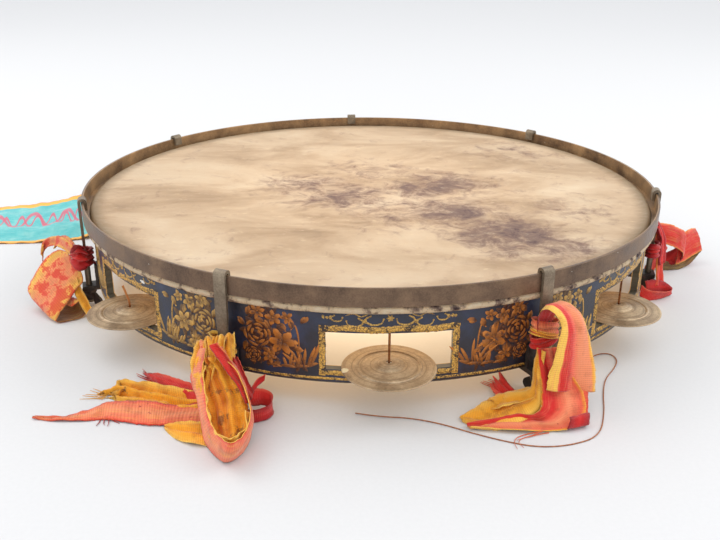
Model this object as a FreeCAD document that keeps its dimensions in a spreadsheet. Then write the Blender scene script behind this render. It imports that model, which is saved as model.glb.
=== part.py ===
import FreeCAD, Part
import math
import os
import re
import Sketcher

# Antique tambourine: a painted wooden shell with seven slots, one brass jingle on a wire pin in each,
# a skin lapped round a wire flesh hoop, a brass counter hoop, and seven hooks with claw feet and wing nuts.
# Silk ribbons, a sash and a loose thread are plain solids here.
# Origin: centre of the drumhead's top face, +Z up.  Angles are degrees from +X, counter-clockwise from above.

Vector = FreeCAD.Vector
Rotation = FreeCAD.Rotation
Placement = FreeCAD.Placement
Z_AXIS = Vector(0, 0, 1)

DIMENSIONS = {
    # counter hoop: an angle-section band whose inner flange presses on the flesh hoop
    "hoop_radius": 180.0,
    "hoop_wall": 1.4,
    "hoop_top": 6.0,
    "hoop_bottom": -3.6,
    "flange_inner": 175.9,
    "flange_thick": 1.1,
    "hoop_round": 0.35,
    # shell
    "shell_radius": 174.8,
    "shell_wall": 4.2,
    "shell_top": -0.7,
    "shell_bottom": -46.6,
    "shell_round": 1.4,
    "slot_width": 61.0,
    "slot_height": 20.0,
    "slot_top": -19.5,
    # skin, and the wire that it is lapped round
    "skin_thick": 0.6,
    "skin_shoulder": 1.6,
    "skin_bend": 0.85,
    "collar_outer": 175.45,
    "bead_circle": 177.3,
    "bead_radius": 2.15,
    "bead_height": -5.95,
    "flesh_wire_radius": 1.4,
    "lap_gap": 0.1,
    # jingles and their pins
    "pin_circle": 172.7,
    "pin_radius": 0.6,
    "pin_top": -13.0,
    "pin_bottom": -45.6,
    "bent_pin_stand": 5.0,
    "bent_pin_elbow": 2.4,
    "bent_pin_rise": 7.4,
    "bent_pin_lean": 4.2,
    "bent_pin_out": 0.8,
    "jingle_radius": 23.2,
    "jingle_sheet": 0.8,
    "jingle_rise": 2.6,
    "jingle_hole": 1.4,
    "jingle_lift": 0.3,
    # tension hook: a flat strap rolled over the hoop, drawn down to a threaded rod
    "strap_inner": 180.3,
    "strap_thick": 1.6,
    "strap_width": 6.4,
    "strap_neck_width": 4.4,
    "strap_shoulder": -14.0,
    "strap_neck": -29.0,
    "curl_inner": 178.2,
    "curl_centre_height": 5.85,
    "curl_tip": 1.2,
    "rod_radius": 1.8,
    "rod_bottom": -58.4,
    # claw foot under the shell's edge
    "foot_width": 9.0,
    "foot_gap": 0.15,
    "foot_leg": 1.9,
    "foot_leg_top": -34.0,
    "foot_lip": 2.0,
    "foot_lip_top": -41.0,
    "foot_plate": 2.6,
    "foot_reach": 185.0,
    "foot_hole": 2.1,
    # wing nut
    "nut_gap": 0.3,
    "nut_bore": 2.1,
    "nut_collar": 4.3,
    "nut_waist": 3.4,
    "nut_height": 6.4,
    "wing_reach": 6.4,
    "wing_tip_radius": 3.1,
    "wing_thick": 1.6,
    "wing_root": 0.6,
    "table_height": -60.0,
    # thread
    "thread_diameter": 0.6,
}

# The seven hooks stand a few degrees off an even spacing, as they were set by hand.
HOOK_ANGLES = (-113.5, -62.4, -9.8, 44.5, 94.5, 145.0, 197.7)
SLOT_ANGLES = (-87.3, -37.0, 17.3, 69.5, 119.8, 171.3, -140.0)
BENT_PIN_SLOT = 7
# Each wing nut stops where its thread bites, so the wings point different ways.
NUT_TURNS = (62.0, 127.0, 15.0, 40.0, 120.0, 75.0, 150.0)
# Upper outline of a jingle from rim to hole: (share of the radius, share of the rise above the sheet).
JINGLE_OUTLINE = (
    (0.71, 0.10), (0.685, 0.26), (0.655, 0.26), (0.63, 0.12),
    (0.48, 0.30), (0.33, 0.42), (0.29, 0.60), (0.18, 0.90),
)

PIECES = []


def new_document():
    document = FreeCAD.newDocument("tambourine")
    sheet = document.addObject("Spreadsheet::Sheet", "dims")
    values = dict(DIMENSIONS)
    for number, angle in enumerate(HOOK_ANGLES, 1):
        values[f"hook_angle_{number}"] = angle
    for number, angle in enumerate(SLOT_ANGLES, 1):
        values[f"slot_angle_{number}"] = angle
    for number, angle in enumerate(NUT_TURNS, 1):
        values[f"nut_turn_{number}"] = angle
    for row, (alias, value) in enumerate(values.items(), 1):
        sheet.set(f"A{row}", alias)
        sheet.set(f"B{row}", str(value))
        sheet.setAlias(f"B{row}", alias)
    document.recompute()
    return document, sheet, set(values)


def named(expression):
    """An expression written with bare alias names, with each alias turned into a reference to the sheet."""
    return re.sub(r"[a-z]\w*", lambda word: f"dims.{word[0]}" if word[0] in ALIASES else word[0], expression)


def value(expression):
    return float(sheet.evalExpression(named(expression)))


def bind(item, path, expression):
    item.setExpression(path, named(expression))


def keep(item, label):
    item.Label = label
    PIECES.append(item)
    return item


def new_body(label):
    return keep(doc.addObject("PartDesign::Body", label + "_body"), label)


def plane(body, role):
    return next(part for part in body.Origin.OriginFeatures if part.Role == role)


def new_sketch(body, role, name, height=None, turn=None):
    """A sketch on one of the body's own planes, lifted along its normal and turned about it."""
    sketch = body.newObject("Sketcher::SketchObject", name)
    sketch.AttachmentSupport = [(plane(body, role), "")]
    sketch.MapMode = "FlatFace"
    if height:
        bind(sketch, "AttachmentOffset.Base.z", height)
    if turn:
        sketch.AttachmentOffset = Placement(Vector(), Rotation(Z_AXIS, 1))
        bind(sketch, "AttachmentOffset.Rotation.Angle", turn)
    return sketch


def fix_point(sketch, geometry, end, across, up):
    """Ties one end of a line or arc to the origin by two driven distances."""
    for kind, axis, expression in (("DistanceX", -2, across), ("DistanceY", -1, up)):
        size = value(expression)
        if abs(size) < 1e-9:
            sketch.addConstraint(Sketcher.Constraint("PointOnObject", geometry, end, axis))
        else:
            index = sketch.addConstraint(Sketcher.Constraint(kind, -1, 1, geometry, end, size))
            bind(sketch, f"Constraints[{index}]", expression)


def polygon(sketch, points):
    """A closed outline of straight lines, each corner driven from the sheet."""
    corners = [Vector(value(across), value(up), 0) for across, up in points]
    first = sketch.GeometryCount
    count = len(corners)
    for index in range(count):
        sketch.addGeometry(Part.LineSegment(corners[index], corners[(index + 1) % count]), False)
    for index in range(count):
        following = first + (index + 1) % count
        sketch.addConstraint(Sketcher.Constraint("Coincident", first + index, 2, following, 1))
    for index, (across, up) in enumerate(points):
        fix_point(sketch, first + index, 1, across, up)


def circle(sketch, across, up, radius):
    centre = Vector(value(across), value(up), 0)
    index = sketch.addGeometry(Part.Circle(centre, Z_AXIS, value(radius)), False)
    size = sketch.addConstraint(Sketcher.Constraint("Radius", index, value(radius)))
    bind(sketch, f"Constraints[{size}]", radius)
    fix_point(sketch, index, 3, across, up)


def revolve(body, sketch, name, kind="PartDesign::Revolution"):
    feature = body.newObject(kind, name)
    feature.Profile = sketch
    feature.ReferenceAxis = (sketch, ["V_Axis"])
    feature.Angle = 360
    return feature


def pad(body, sketch, name, length):
    feature = body.newObject("PartDesign::Pad", name)
    feature.Profile = sketch
    feature.Midplane = True
    bind(feature, "Length", length)
    return feature


def pocket(body, sketch, name, length):
    """Cuts downwards from the sketch, and checks that it did cut."""
    doc.recompute()
    before = body.Shape.Volume
    feature = body.newObject("PartDesign::Pocket", name)
    feature.Profile = sketch
    bind(feature, "Length", length)
    doc.recompute()
    if body.Shape.Volume >= before - 1e-3:
        raise RuntimeError(f"{name} cuts nothing")
    return feature


def round_edges(body, name, radius, height):
    """A fillet on the full circles that lie level at one height."""
    doc.recompute()
    tip = body.Tip
    edges = []
    for index, edge in enumerate(tip.Shape.Edges, 1):
        if edge.isClosed() and abs(edge.CenterOfMass.z - value(height)) < 0.01:
            edges.append(f"Edge{index}")
    feature = body.newObject("PartDesign::Fillet", name)
    feature.Base = (tip, edges)
    bind(feature, "Radius", radius)
    return feature


def turn_to(item, angle):
    """Turns a piece modelled on +X to its place round the drum."""
    item.Placement = Placement(Vector(), Rotation(Z_AXIS, 1))
    bind(item, "Placement.Rotation.Angle", angle)


def move_to(item, circle_radius, angle, height):
    bind(item, "Placement.Base.x", f"{circle_radius} * cos( {angle} )")
    bind(item, "Placement.Base.y", f"{circle_radius} * sin( {angle} )")
    bind(item, "Placement.Base.z", height)


def make_shell():
    body = new_body("shell")
    ring = new_sketch(body, "XZ_Plane", "shell_section")
    polygon(ring, [
        ("shell_radius - shell_wall", "shell_bottom"),
        ("shell_radius", "shell_bottom"),
        ("shell_radius", "shell_top"),
        ("shell_radius - shell_wall", "shell_top"),
    ])
    revolve(body, ring, "shell_ring")
    round_edges(body, "bearing_edge", "shell_round", "shell_top")
    for number in range(1, len(SLOT_ANGLES) + 1):
        slot = new_sketch(body, "XY_Plane", f"slot_plan_{number}", "slot_top", f"slot_angle_{number}")
        inner, outer = "pin_circle - 2 * shell_wall", "pin_circle + 2 * shell_wall"
        polygon(slot, [
            (inner, "0 - slot_width / 2"),
            (outer, "0 - slot_width / 2"),
            (outer, "slot_width / 2"),
            (inner, "slot_width / 2"),
        ])
        pocket(body, slot, f"slot_{number}", "slot_height")
        hole = new_sketch(body, "XY_Plane", f"pin_hole_plan_{number}", "pin_top", f"slot_angle_{number}")
        circle(hole, "pin_circle", "0", "pin_radius")
        pocket(body, hole, f"pin_hole_{number}", "pin_top - shell_bottom")


def make_drumhead():
    body = new_body("drumhead")
    disc = new_sketch(body, "XZ_Plane", "skin_section")
    polygon(disc, [
        ("0", "0 - skin_thick"),
        ("shell_radius + lap_gap - skin_bend", "0 - skin_thick"),
        ("shell_radius + lap_gap", "0 - skin_thick - skin_bend"),
        ("shell_radius + lap_gap", "bead_height"),
        ("collar_outer + lap_gap", "bead_height"),
        ("collar_outer", "0 - skin_shoulder"),
        ("collar_outer - skin_shoulder / 3", "0 - skin_shoulder / 3"),
        ("collar_outer - skin_shoulder", "0"),
        ("0", "0"),
    ])
    revolve(body, disc, "skin")
    bead = new_sketch(body, "XZ_Plane", "bead_section")
    circle(bead, "bead_circle", "bead_height", "bead_radius")
    revolve(body, bead, "skin_lap")
    channel = new_sketch(body, "XZ_Plane", "wire_channel_section")
    circle(channel, "bead_circle", "bead_height", "flesh_wire_radius + lap_gap")
    revolve(body, channel, "wire_channel", "PartDesign::Groove")
    mouth = new_sketch(body, "XZ_Plane", "lap_mouth_section")
    polygon(mouth, [
        ("bead_circle - lap_gap", "bead_height - 2 * bead_radius"),
        ("bead_circle + lap_gap", "bead_height - 2 * bead_radius"),
        ("bead_circle + lap_gap", "bead_height"),
        ("bead_circle - lap_gap", "bead_height"),
    ])
    revolve(body, mouth, "lap_mouth", "PartDesign::Groove")


def make_flesh_hoop():
    wire = keep(doc.addObject("Part::Torus", "flesh_hoop_wire"), "flesh_hoop")
    bind(wire, "Radius1", "bead_circle")
    bind(wire, "Radius2", "flesh_wire_radius")
    bind(wire, "Placement.Base.z", "bead_height")


def make_counter_hoop():
    body = new_body("counter_hoop")
    angle = new_sketch(body, "XZ_Plane", "hoop_section")
    polygon(angle, [
        ("flange_inner", "hoop_bottom"),
        ("hoop_radius", "hoop_bottom"),
        ("hoop_radius", "hoop_top"),
        ("hoop_radius - hoop_wall", "hoop_top"),
        ("hoop_radius - hoop_wall", "hoop_bottom + flange_thick"),
        ("flange_inner", "hoop_bottom + flange_thick"),
    ])
    revolve(body, angle, "hoop_band")
    round_edges(body, "hoop_rim", "hoop_round", "hoop_top")


def make_hook(number):
    """Flat strap rolled over the hoop's top edge at its upper end and drawn to a round rod at its lower one."""
    body = new_body(f"tension_hook_{number}")
    side = new_sketch(body, "XZ_Plane", f"strap_side_{number}")
    polygon(side, [
        ("strap_inner", "strap_shoulder"),
        ("strap_inner + strap_thick", "strap_shoulder"),
        ("strap_inner + strap_thick", "curl_centre_height"),
        ("strap_inner", "curl_centre_height"),
    ])
    pad(body, side, f"strap_{number}", "strap_width")
    curl = new_sketch(body, "XZ_Plane", f"curl_side_{number}")
    half_round(curl)
    pad(body, curl, f"curl_{number}", "strap_width")
    neck_top = new_sketch(body, "XY_Plane", f"neck_top_{number}", "strap_shoulder")
    strap_section(neck_top, "strap_width")
    neck_bottom = new_sketch(body, "XY_Plane", f"neck_bottom_{number}", "strap_neck")
    strap_section(neck_bottom, "strap_neck_width")
    neck = body.newObject("PartDesign::AdditiveLoft", f"neck_{number}")
    neck.Profile = neck_top
    neck.Sections = [neck_bottom]
    rod_plan = new_sketch(body, "XY_Plane", f"rod_plan_{number}", "rod_bottom")
    circle(rod_plan, "strap_inner + strap_thick / 2", "0", "rod_radius")
    rod = body.newObject("PartDesign::Pad", f"rod_{number}")
    rod.Profile = rod_plan
    bind(rod, "Length", "strap_neck - rod_bottom + rod_radius")
    turn_to(body, f"hook_angle_{number}")


def half_round(sketch):
    """The rolled end: a half ring over the hoop's edge and a short straight lip inside it."""
    height = "curl_centre_height"
    centre_across = "( strap_inner + curl_inner ) / 2"
    centre = Vector(value(centre_across), value(height), 0)
    inner_radius = "( strap_inner - curl_inner ) / 2"
    outer_radius = "( strap_inner - curl_inner ) / 2 + strap_thick"
    arcs = []
    for radius in (inner_radius, outer_radius):
        ring = Part.Circle(centre, Z_AXIS, value(radius))
        arcs.append(sketch.addGeometry(Part.ArcOfCircle(ring, 0, math.pi), False))
        size = sketch.addConstraint(Sketcher.Constraint("Radius", arcs[-1], value(radius)))
        bind(sketch, f"Constraints[{size}]", radius)
        fix_point(sketch, arcs[-1], 3, centre_across, height)
    inner_arc, outer_arc = arcs
    across = [value("strap_inner"), value("strap_inner + strap_thick")]
    lip = [value("curl_inner - strap_thick"), value("curl_inner")]
    top = value(height)
    low = value("curl_tip")
    joint = sketch.addGeometry(Part.LineSegment(Vector(across[0], top, 0), Vector(across[1], top, 0)), False)
    outside = sketch.addGeometry(Part.LineSegment(Vector(lip[0], top, 0), Vector(lip[0], low, 0)), False)
    end = sketch.addGeometry(Part.LineSegment(Vector(lip[0], low, 0), Vector(lip[1], low, 0)), False)
    inside = sketch.addGeometry(Part.LineSegment(Vector(lip[1], low, 0), Vector(lip[1], top, 0)), False)
    meeting = (("Coincident", inner_arc, 1, joint, 1), ("Coincident", joint, 2, outer_arc, 1),
               ("Tangent", outer_arc, 2, outside, 1), ("Coincident", outside, 2, end, 1),
               ("Coincident", end, 2, inside, 1), ("Tangent", inside, 2, inner_arc, 2))
    for kind, one, one_end, other, other_end in meeting:
        sketch.addConstraint(Sketcher.Constraint(kind, one, one_end, other, other_end))
    for line, kind in ((outside, "Vertical"), (inside, "Vertical"), (end, "Horizontal")):
        sketch.addConstraint(Sketcher.Constraint(kind, line))
    for arc in arcs:
        sketch.addConstraint(Sketcher.Constraint("Horizontal", arc, 3, arc, 1))
    tip = sketch.addConstraint(Sketcher.Constraint("DistanceY", -1, 1, end, 1, low))
    bind(sketch, f"Constraints[{tip}]", "curl_tip")


def strap_section(sketch, width):
    polygon(sketch, [
        ("strap_inner", f"0 - {width} / 2"),
        ("strap_inner + strap_thick", f"0 - {width} / 2"),
        ("strap_inner + strap_thick", f"{width} / 2"),
        ("strap_inner", f"{width} / 2"),
    ])


def make_claw_foot(number):
    """Bracket that grips the shell's lower edge and carries the pull of one hook."""
    body = new_body(f"claw_foot_{number}")
    side = new_sketch(body, "XZ_Plane", f"claw_side_{number}")
    shell_inner = "shell_radius - shell_wall - foot_gap"
    shell_outer = "shell_radius + foot_gap"
    plate_top = "shell_bottom - foot_gap"
    plate_bottom = "shell_bottom - foot_gap - foot_plate"
    polygon(side, [
        (f"{shell_inner} - foot_lip", plate_bottom),
        ("foot_reach", plate_bottom),
        ("foot_reach", plate_top),
        (f"{shell_outer} + foot_leg", plate_top),
        (f"{shell_outer} + foot_leg", "foot_leg_top"),
        (shell_outer, "foot_leg_top"),
        (shell_outer, plate_top),
        (shell_inner, plate_top),
        (shell_inner, "foot_lip_top"),
        (f"{shell_inner} - foot_lip", "foot_lip_top"),
    ])
    pad(body, side, f"claw_{number}", "foot_width")
    hole = new_sketch(body, "XY_Plane", f"rod_hole_plan_{number}", plate_top)
    circle(hole, "strap_inner + strap_thick / 2", "0", "foot_hole")
    pocket(body, hole, f"rod_hole_{number}", "2 * foot_plate")
    turn_to(body, f"hook_angle_{number}")


def make_wing_nut(number):
    """Waisted hub with two teardrop wings that point down and stand on the table."""
    body = new_body(f"wing_nut_{number}")
    hub = new_sketch(body, "XZ_Plane", f"hub_section_{number}")
    polygon(hub, [
        ("nut_bore", "0"),
        ("nut_collar", "0"),
        ("nut_collar", "0 - nut_height / 4"),
        ("nut_waist", "0 - nut_height / 2"),
        ("nut_waist", "0 - nut_height"),
        ("nut_bore", "0 - nut_height"),
    ])
    revolve(body, hub, f"hub_{number}")
    wing_side = new_sketch(body, "XZ_Plane", f"wing_side_{number}")
    teardrop(wing_side)
    wing = pad(body, wing_side, f"wing_{number}", "wing_thick")
    pair = body.newObject("PartDesign::Mirrored", f"wings_{number}")
    pair.Originals = [wing]
    pair.MirrorPlane = (plane(body, "YZ_Plane"), [""])
    body.Tip = pair
    body.Placement = Placement(Vector(), Rotation(Z_AXIS, 1))
    move_to(body, "( strap_inner + strap_thick / 2 )", f"hook_angle_{number}",
            "shell_bottom - foot_gap - foot_plate - nut_gap")
    bind(body, "Placement.Rotation.Angle", f"nut_turn_{number}")


def teardrop(sketch):
    """Two straight flanks from the hub that run tangent into a round tip."""
    top = "shell_bottom - foot_gap - foot_plate - nut_gap"
    tip_height = f"table_height + wing_tip_radius - ( {top} )"
    root = Vector(value("nut_waist - wing_root"), value("0 - nut_height / 8"), 0)
    heel = Vector(value("nut_waist - wing_root"), value("0 - nut_height + wing_root"), 0)
    centre = Vector(value("wing_reach"), value(tip_height), 0)
    radius = value("wing_tip_radius")
    upper = tangent_point(root, centre, radius, -1)
    lower = tangent_point(heel, centre, radius, 1)
    start = math.atan2(lower.y - centre.y, lower.x - centre.x)
    finish = math.atan2(upper.y - centre.y, upper.x - centre.x)
    ring = Part.Circle(centre, Z_AXIS, radius)
    arc = sketch.addGeometry(Part.ArcOfCircle(ring, start, finish), False)
    flank = sketch.addGeometry(Part.LineSegment(upper, root), False)
    back = sketch.addGeometry(Part.LineSegment(root, heel), False)
    belly = sketch.addGeometry(Part.LineSegment(heel, lower), False)
    sketch.addConstraint(Sketcher.Constraint("Tangent", arc, 2, flank, 1))
    sketch.addConstraint(Sketcher.Constraint("Coincident", flank, 2, back, 1))
    sketch.addConstraint(Sketcher.Constraint("Coincident", back, 2, belly, 1))
    sketch.addConstraint(Sketcher.Constraint("Tangent", belly, 2, arc, 1))
    size = sketch.addConstraint(Sketcher.Constraint("Radius", arc, radius))
    bind(sketch, f"Constraints[{size}]", "wing_tip_radius")
    fix_point(sketch, arc, 3, "wing_reach", tip_height)
    fix_point(sketch, back, 1, "nut_waist - wing_root", "0 - nut_height / 8")
    fix_point(sketch, back, 2, "nut_waist - wing_root", "0 - nut_height + wing_root")


def tangent_point(point, centre, radius, side):
    """Where a line from point touches the circle, on the side named by the sign."""
    away = point - centre
    distance = away.Length
    spread = math.acos(radius / distance)
    heading = math.atan2(away.y, away.x) + side * spread
    return centre + Vector(math.cos(heading), math.sin(heading), 0) * radius


def make_jingle(number):
    """Thin brass cymbal: flat rim, a raised bead two thirds out, a shallow dome and a boss round the hole."""
    body = new_body(f"jingle_{number}")
    section = new_sketch(body, "XZ_Plane", f"jingle_section_{number}")
    upper = [(f"jingle_radius * {share}", f"jingle_sheet + jingle_rise * {up}") for share, up in JINGLE_OUTLINE]
    upper.append(("jingle_hole", "jingle_sheet + jingle_rise"))
    lower = [(across, f"{up} - jingle_sheet") for across, up in reversed(upper)]
    rim = [
        ("jingle_radius * 0.985", "0"),
        ("jingle_radius", "jingle_sheet * 0.3"),
        ("jingle_radius", "jingle_sheet * 0.55"),
        ("jingle_radius * 0.985", "jingle_sheet * 0.95"),
    ]
    polygon(section, rim + upper + lower)
    revolve(body, section, f"jingle_disc_{number}")
    move_to(body, "pin_circle", f"slot_angle_{number}", "slot_top - slot_height + jingle_lift")


def make_pins():
    """Straight wire pins, one through each slot but the one whose pin is bent."""
    wires = []
    for number in range(1, len(SLOT_ANGLES) + 1):
        if number == BENT_PIN_SLOT:
            continue
        wire = doc.addObject("Part::Cylinder", f"pin_{number}")
        bind(wire, "Radius", "pin_radius")
        bind(wire, "Height", "pin_top - pin_bottom")
        move_to(wire, "pin_circle", f"slot_angle_{number}", "pin_bottom")
        wires.append(wire)
    group = keep(doc.addObject("Part::Compound", "pin_group"), "jingle_pins")
    group.Links = wires


def make_bent_pin():
    """The bent pin has pulled out of its upper hole: it stands in the lower one and leans out and sideways."""
    radius = value("pin_radius")
    angle = math.radians(value(f"slot_angle_{BENT_PIN_SLOT}"))
    outward = Vector(math.cos(angle), math.sin(angle), 0)
    sideways = Vector(math.sin(angle), -math.cos(angle), 0)
    foot = outward * value("pin_circle") + Z_AXIS * value("pin_bottom")
    bend = foot + Z_AXIS * (value("slot_top - slot_height + bent_pin_stand") - foot.z)
    elbow = bend + Z_AXIS * value("bent_pin_elbow") + sideways * radius
    tip = elbow + Z_AXIS * value("bent_pin_rise") + sideways * value("bent_pin_lean")
    tip += outward * value("bent_pin_out")
    path = rounded_path([foot, bend, elbow, tip])
    wire = keep(doc.addObject("Part::Feature", "bent_pin_wire"), "bent_jingle_pin")
    wire.Shape = tube(path, radius)


def rounded_path(points):
    """Straight runs joined by tangent arcs, each as large as its two runs allow."""
    edges = []
    radii = []
    start = points[0]
    for before, corner, after in zip(points, points[1:], points[2:]):
        back = (before - corner).normalize()
        ahead = (after - corner).normalize()
        half_turn = (math.pi - back.getAngle(ahead)) / 2
        setback = 0.45 * min((before - corner).Length, (after - corner).Length)
        radius = setback / math.tan(half_turn)
        entry = corner + back * setback
        leave = corner + ahead * setback
        bisector = (back + ahead).normalize()
        middle = corner + bisector * (radius / math.cos(half_turn) - radius)
        edges.append(Part.LineSegment(start, entry).toShape())
        edges.append(Part.Arc(entry, middle, leave).toShape())
        radii.append(radius)
        start = leave
    edges.append(Part.LineSegment(start, points[-1]).toShape())
    print("bend radii:", " ".join(f"{radius:.1f}" for radius in radii))
    return Part.Wire(edges)


def tube(path, radius):
    """A round bar along the path; its volume is compared with section times length."""
    first = path.Edges[0]
    start = first.valueAt(first.FirstParameter)
    section = Part.Wire(Part.Circle(start, first.tangentAt(first.FirstParameter), radius).toShape())
    bar = path.makePipeShell([section], True, False)
    ideal = math.pi * radius ** 2 * path.Length
    if abs(bar.Volume / ideal - 1) > 0.02:
        raise RuntimeError(f"a tube's volume is {bar.Volume:.2f}, not {ideal:.2f}")
    print(f"tube length {path.Length:.1f}, volume {bar.Volume:.2f} of {ideal:.2f}")
    return bar


# Each silk piece is a row of stations, from where it is tied to its free end:
# (centre x, y, z), (half-width vector x, y, z), thickness.
SILK = {
    "ribbon_front_left_knot": [
        ((-75.2, -172.8, -21.0), (7.5, -3.3, 0.0), 5.6),
        ((-76.0, -174.4, -28.0), (9.0, -3.9, 0.0), 7.0),
        ((-75.6, -173.6, -35.0), (8.0, -3.5, 0.0), 6.0),
    ],
    "ribbon_front_left_loop": [
        ((-76.5, -185.0, -31.0), (9.0, -4.0, 0.0), 6.0),
        ((-71.0, -201.0, -44.0), (12.0, -4.0, 0.0), 11.0),
        ((-64.5, -217.0, -55.6), (10.0, -3.0, 0.0), 6.0),
    ],
    "ribbon_front_left_long_tail": [
        ((-84.5, -186.5, -58.6), (-1.0, 8.0, 0.0), 2.6),
        ((-120.0, -183.0, -58.6), (-2.0, 7.5, 0.0), 2.6),
        ((-161.0, -185.5, -58.6), (0.0, 2.0, 0.0), 2.6),
    ],
    "ribbon_front_left_gold_tail": [
        ((-87.0, -170.5, -58.8), (0.0, 5.0, 0.0), 2.2),
        ((-112.0, -169.0, -58.8), (0.0, 5.0, 0.0), 2.2),
        ((-138.0, -164.5, -58.8), (0.0, 2.0, 0.0), 2.2),
    ],
    "ribbon_front_left_red_tail": [
        ((-88.0, -160.5, -58.8), (1.5, 3.5, 0.0), 2.2),
        ((-101.0, -155.0, -58.8), (2.0, 4.0, 0.0), 2.2),
        ((-116.0, -148.5, -58.8), (0.5, 1.5, 0.0), 2.2),
    ],
    "ribbon_front_left_scrap": [
        ((-95.0, -198.5, -58.9), (1.5, 3.0, 0.0), 2.0),
        ((-80.0, -205.0, -58.9), (1.5, 3.0, 0.0), 2.0),
    ],
    "ribbon_front_left_curl": [
        ((-60.0, -156.0, -54.8), (0.0, 0.0, 5.0), 5.0),
        ((-54.5, -170.0, -54.8), (0.0, 0.0, 5.0), 5.0),
        ((-57.0, -184.0, -54.8), (0.0, 0.0, 5.0), 5.0),
    ],
    "ribbon_front_right_fall": [
        ((88.0, -167.5, -11.0), (6.5, 3.4, 0.0), 4.0),
        ((99.0, -165.0, -36.0), (10.2, 5.3, 0.0), 5.0),
        ((100.0, -172.5, -59.0), (10.5, 5.5, 0.0), 5.0),
    ],
    "ribbon_front_right_wrap": [
        ((77.5, -170.5, -20.0), (3.5, 1.8, 0.0), 4.0),
        ((80.5, -175.0, -38.0), (5.0, 2.6, 0.0), 5.0),
        ((80.0, -177.5, -59.2), (5.0, 2.6, 0.0), 4.0),
    ],
    "ribbon_front_right_long_tail": [
        ((85.0, -196.0, -58.6), (0.0, 6.0, 0.0), 2.6),
        ((64.0, -187.0, -58.6), (0.0, 9.5, 0.0), 2.6),
        ((45.0, -187.5, -58.6), (0.0, 3.5, 0.0), 2.6),
    ],
    "ribbon_front_right_rolled_end": [
        ((104.5, -181.5, -56.3), (4.5, -1.5, 0.0), 7.0),
        ((100.0, -193.5, -56.3), (4.5, -1.5, 0.0), 7.0),
    ],
    "ribbon_front_right_frayed_end": [
        ((65.0, -146.5, -58.9), (2.5, -1.0, 0.0), 2.0),
        ((67.5, -156.0, -58.9), (3.0, -0.5, 0.0), 2.0),
        ((69.0, -164.5, -58.9), (2.0, 0.0, 0.0), 2.0),
    ],
    "ribbon_left_knot": [
        ((-178.2, -56.8, -20.0), (2.0, -6.3, 0.0), 6.0),
        ((-178.8, -57.0, -28.0), (2.4, -7.6, 0.0), 7.0),
        ((-178.4, -56.9, -36.0), (2.0, -6.3, 0.0), 6.0),
    ],
    "ribbon_left_bow": [
        ((-187.5, -60.5, -31.0), (3.5, -11.0, 0.0), 6.0),
        ((-200.0, -62.0, -42.0), (4.0, -13.0, 0.0), 9.0),
        ((-197.0, -74.0, -55.5), (4.5, -12.0, 0.0), 6.0),
    ],
    "ribbon_left_tail": [
        ((-178.5, -74.0, -38.0), (3.0, -3.0, 0.0), 3.0),
        ((-177.0, -79.0, -49.0), (3.5, -3.5, 0.0), 3.0),
        ((-174.0, -86.0, -58.2), (3.5, -3.5, 0.0), 3.0),
    ],
    "ribbon_right_knot": [
        ((184.6, -31.6, -20.0), (1.0, 6.0, 0.0), 5.6),
        ((185.2, -31.9, -28.0), (1.2, 7.4, 0.0), 7.0),
        ((184.7, -31.7, -36.0), (1.0, 6.0, 0.0), 5.6),
    ],
    "ribbon_right_upper_loop": [
        ((195.0, -18.0, -43.0), (0.0, 0.0, 12.0), 7.0),
        ((210.0, -4.0, -44.5), (0.0, 0.0, 14.0), 14.0),
        ((230.0, 12.0, -44.0), (0.0, 0.0, 13.0), 8.0),
    ],
    "ribbon_right_lower_loop": [
        ((191.5, -39.5, -43.0), (0.0, 0.0, 5.0), 3.5),
        ((195.0, -45.5, -49.0), (0.0, 0.0, 5.5), 4.5),
        ((193.5, -53.0, -54.0), (0.0, 0.0, 5.0), 3.5),
    ],
    "sash_knot": [
        ((-153.6, 107.6, -24.0), (3.6, 5.2, 0.0), 6.4),
        ((-154.0, 107.9, -33.0), (4.4, 6.4, 0.0), 7.2),
        ((-153.7, 107.7, -42.0), (3.6, 5.2, 0.0), 6.4),
    ],
    "sash": [
        ((-165.5, 112.5, -40.0), (3.0, 8.0, 3.0), 3.0),
        ((-185.0, 104.0, -47.0), (-3.0, 20.0, 7.0), 3.0),
        ((-212.0, 90.0, -51.5), (-9.0, 33.0, 6.5), 3.0),
        ((-285.0, 87.0, -58.2), (-13.0, 40.0, 0.0), 2.6),
        ((-345.0, 92.0, -58.5), (-10.0, 40.0, 0.0), 2.6),
    ],
}

# The loose thread leaves the back of the front right ribbon, dips under the shell's edge and lies on the table.
THREAD_ROUTE = [
    (98.1, -165.2, -44.0), (98.5, -156.5, -50.5), (105.0, -143.0, -56.0), (115.0, -129.0, -59.0),
    (124.0, -119.0, -59.65), (132.0, -117.5, -59.65), (134.5, -125.0, -59.65), (129.8, -135.0, -59.65),
    (122.0, -146.0, -59.65), (117.0, -161.0, -59.65), (113.0, -179.0, -59.65), (105.5, -199.5, -59.65),
    (90.0, -207.0, -59.65), (75.0, -208.5, -59.65), (61.0, -204.0, -59.65), (46.0, -197.0, -59.65),
    (33.0, -189.5, -59.65), (18.0, -184.5, -59.65), (3.0, -183.5, -59.65), (-8.0, -180.5, -59.65),
]


def make_silk():
    for label, stations in SILK.items():
        piece = keep(doc.addObject("Part::Feature", label + "_solid"), label)
        piece.Shape = strip(stations)


def make_thread():
    thread = keep(doc.addObject("Part::Feature", "thread_solid"), "loose_thread")
    thread.Shape = tube(rounded_path([Vector(*point) for point in THREAD_ROUTE]), value("thread_diameter / 2"))


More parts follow.
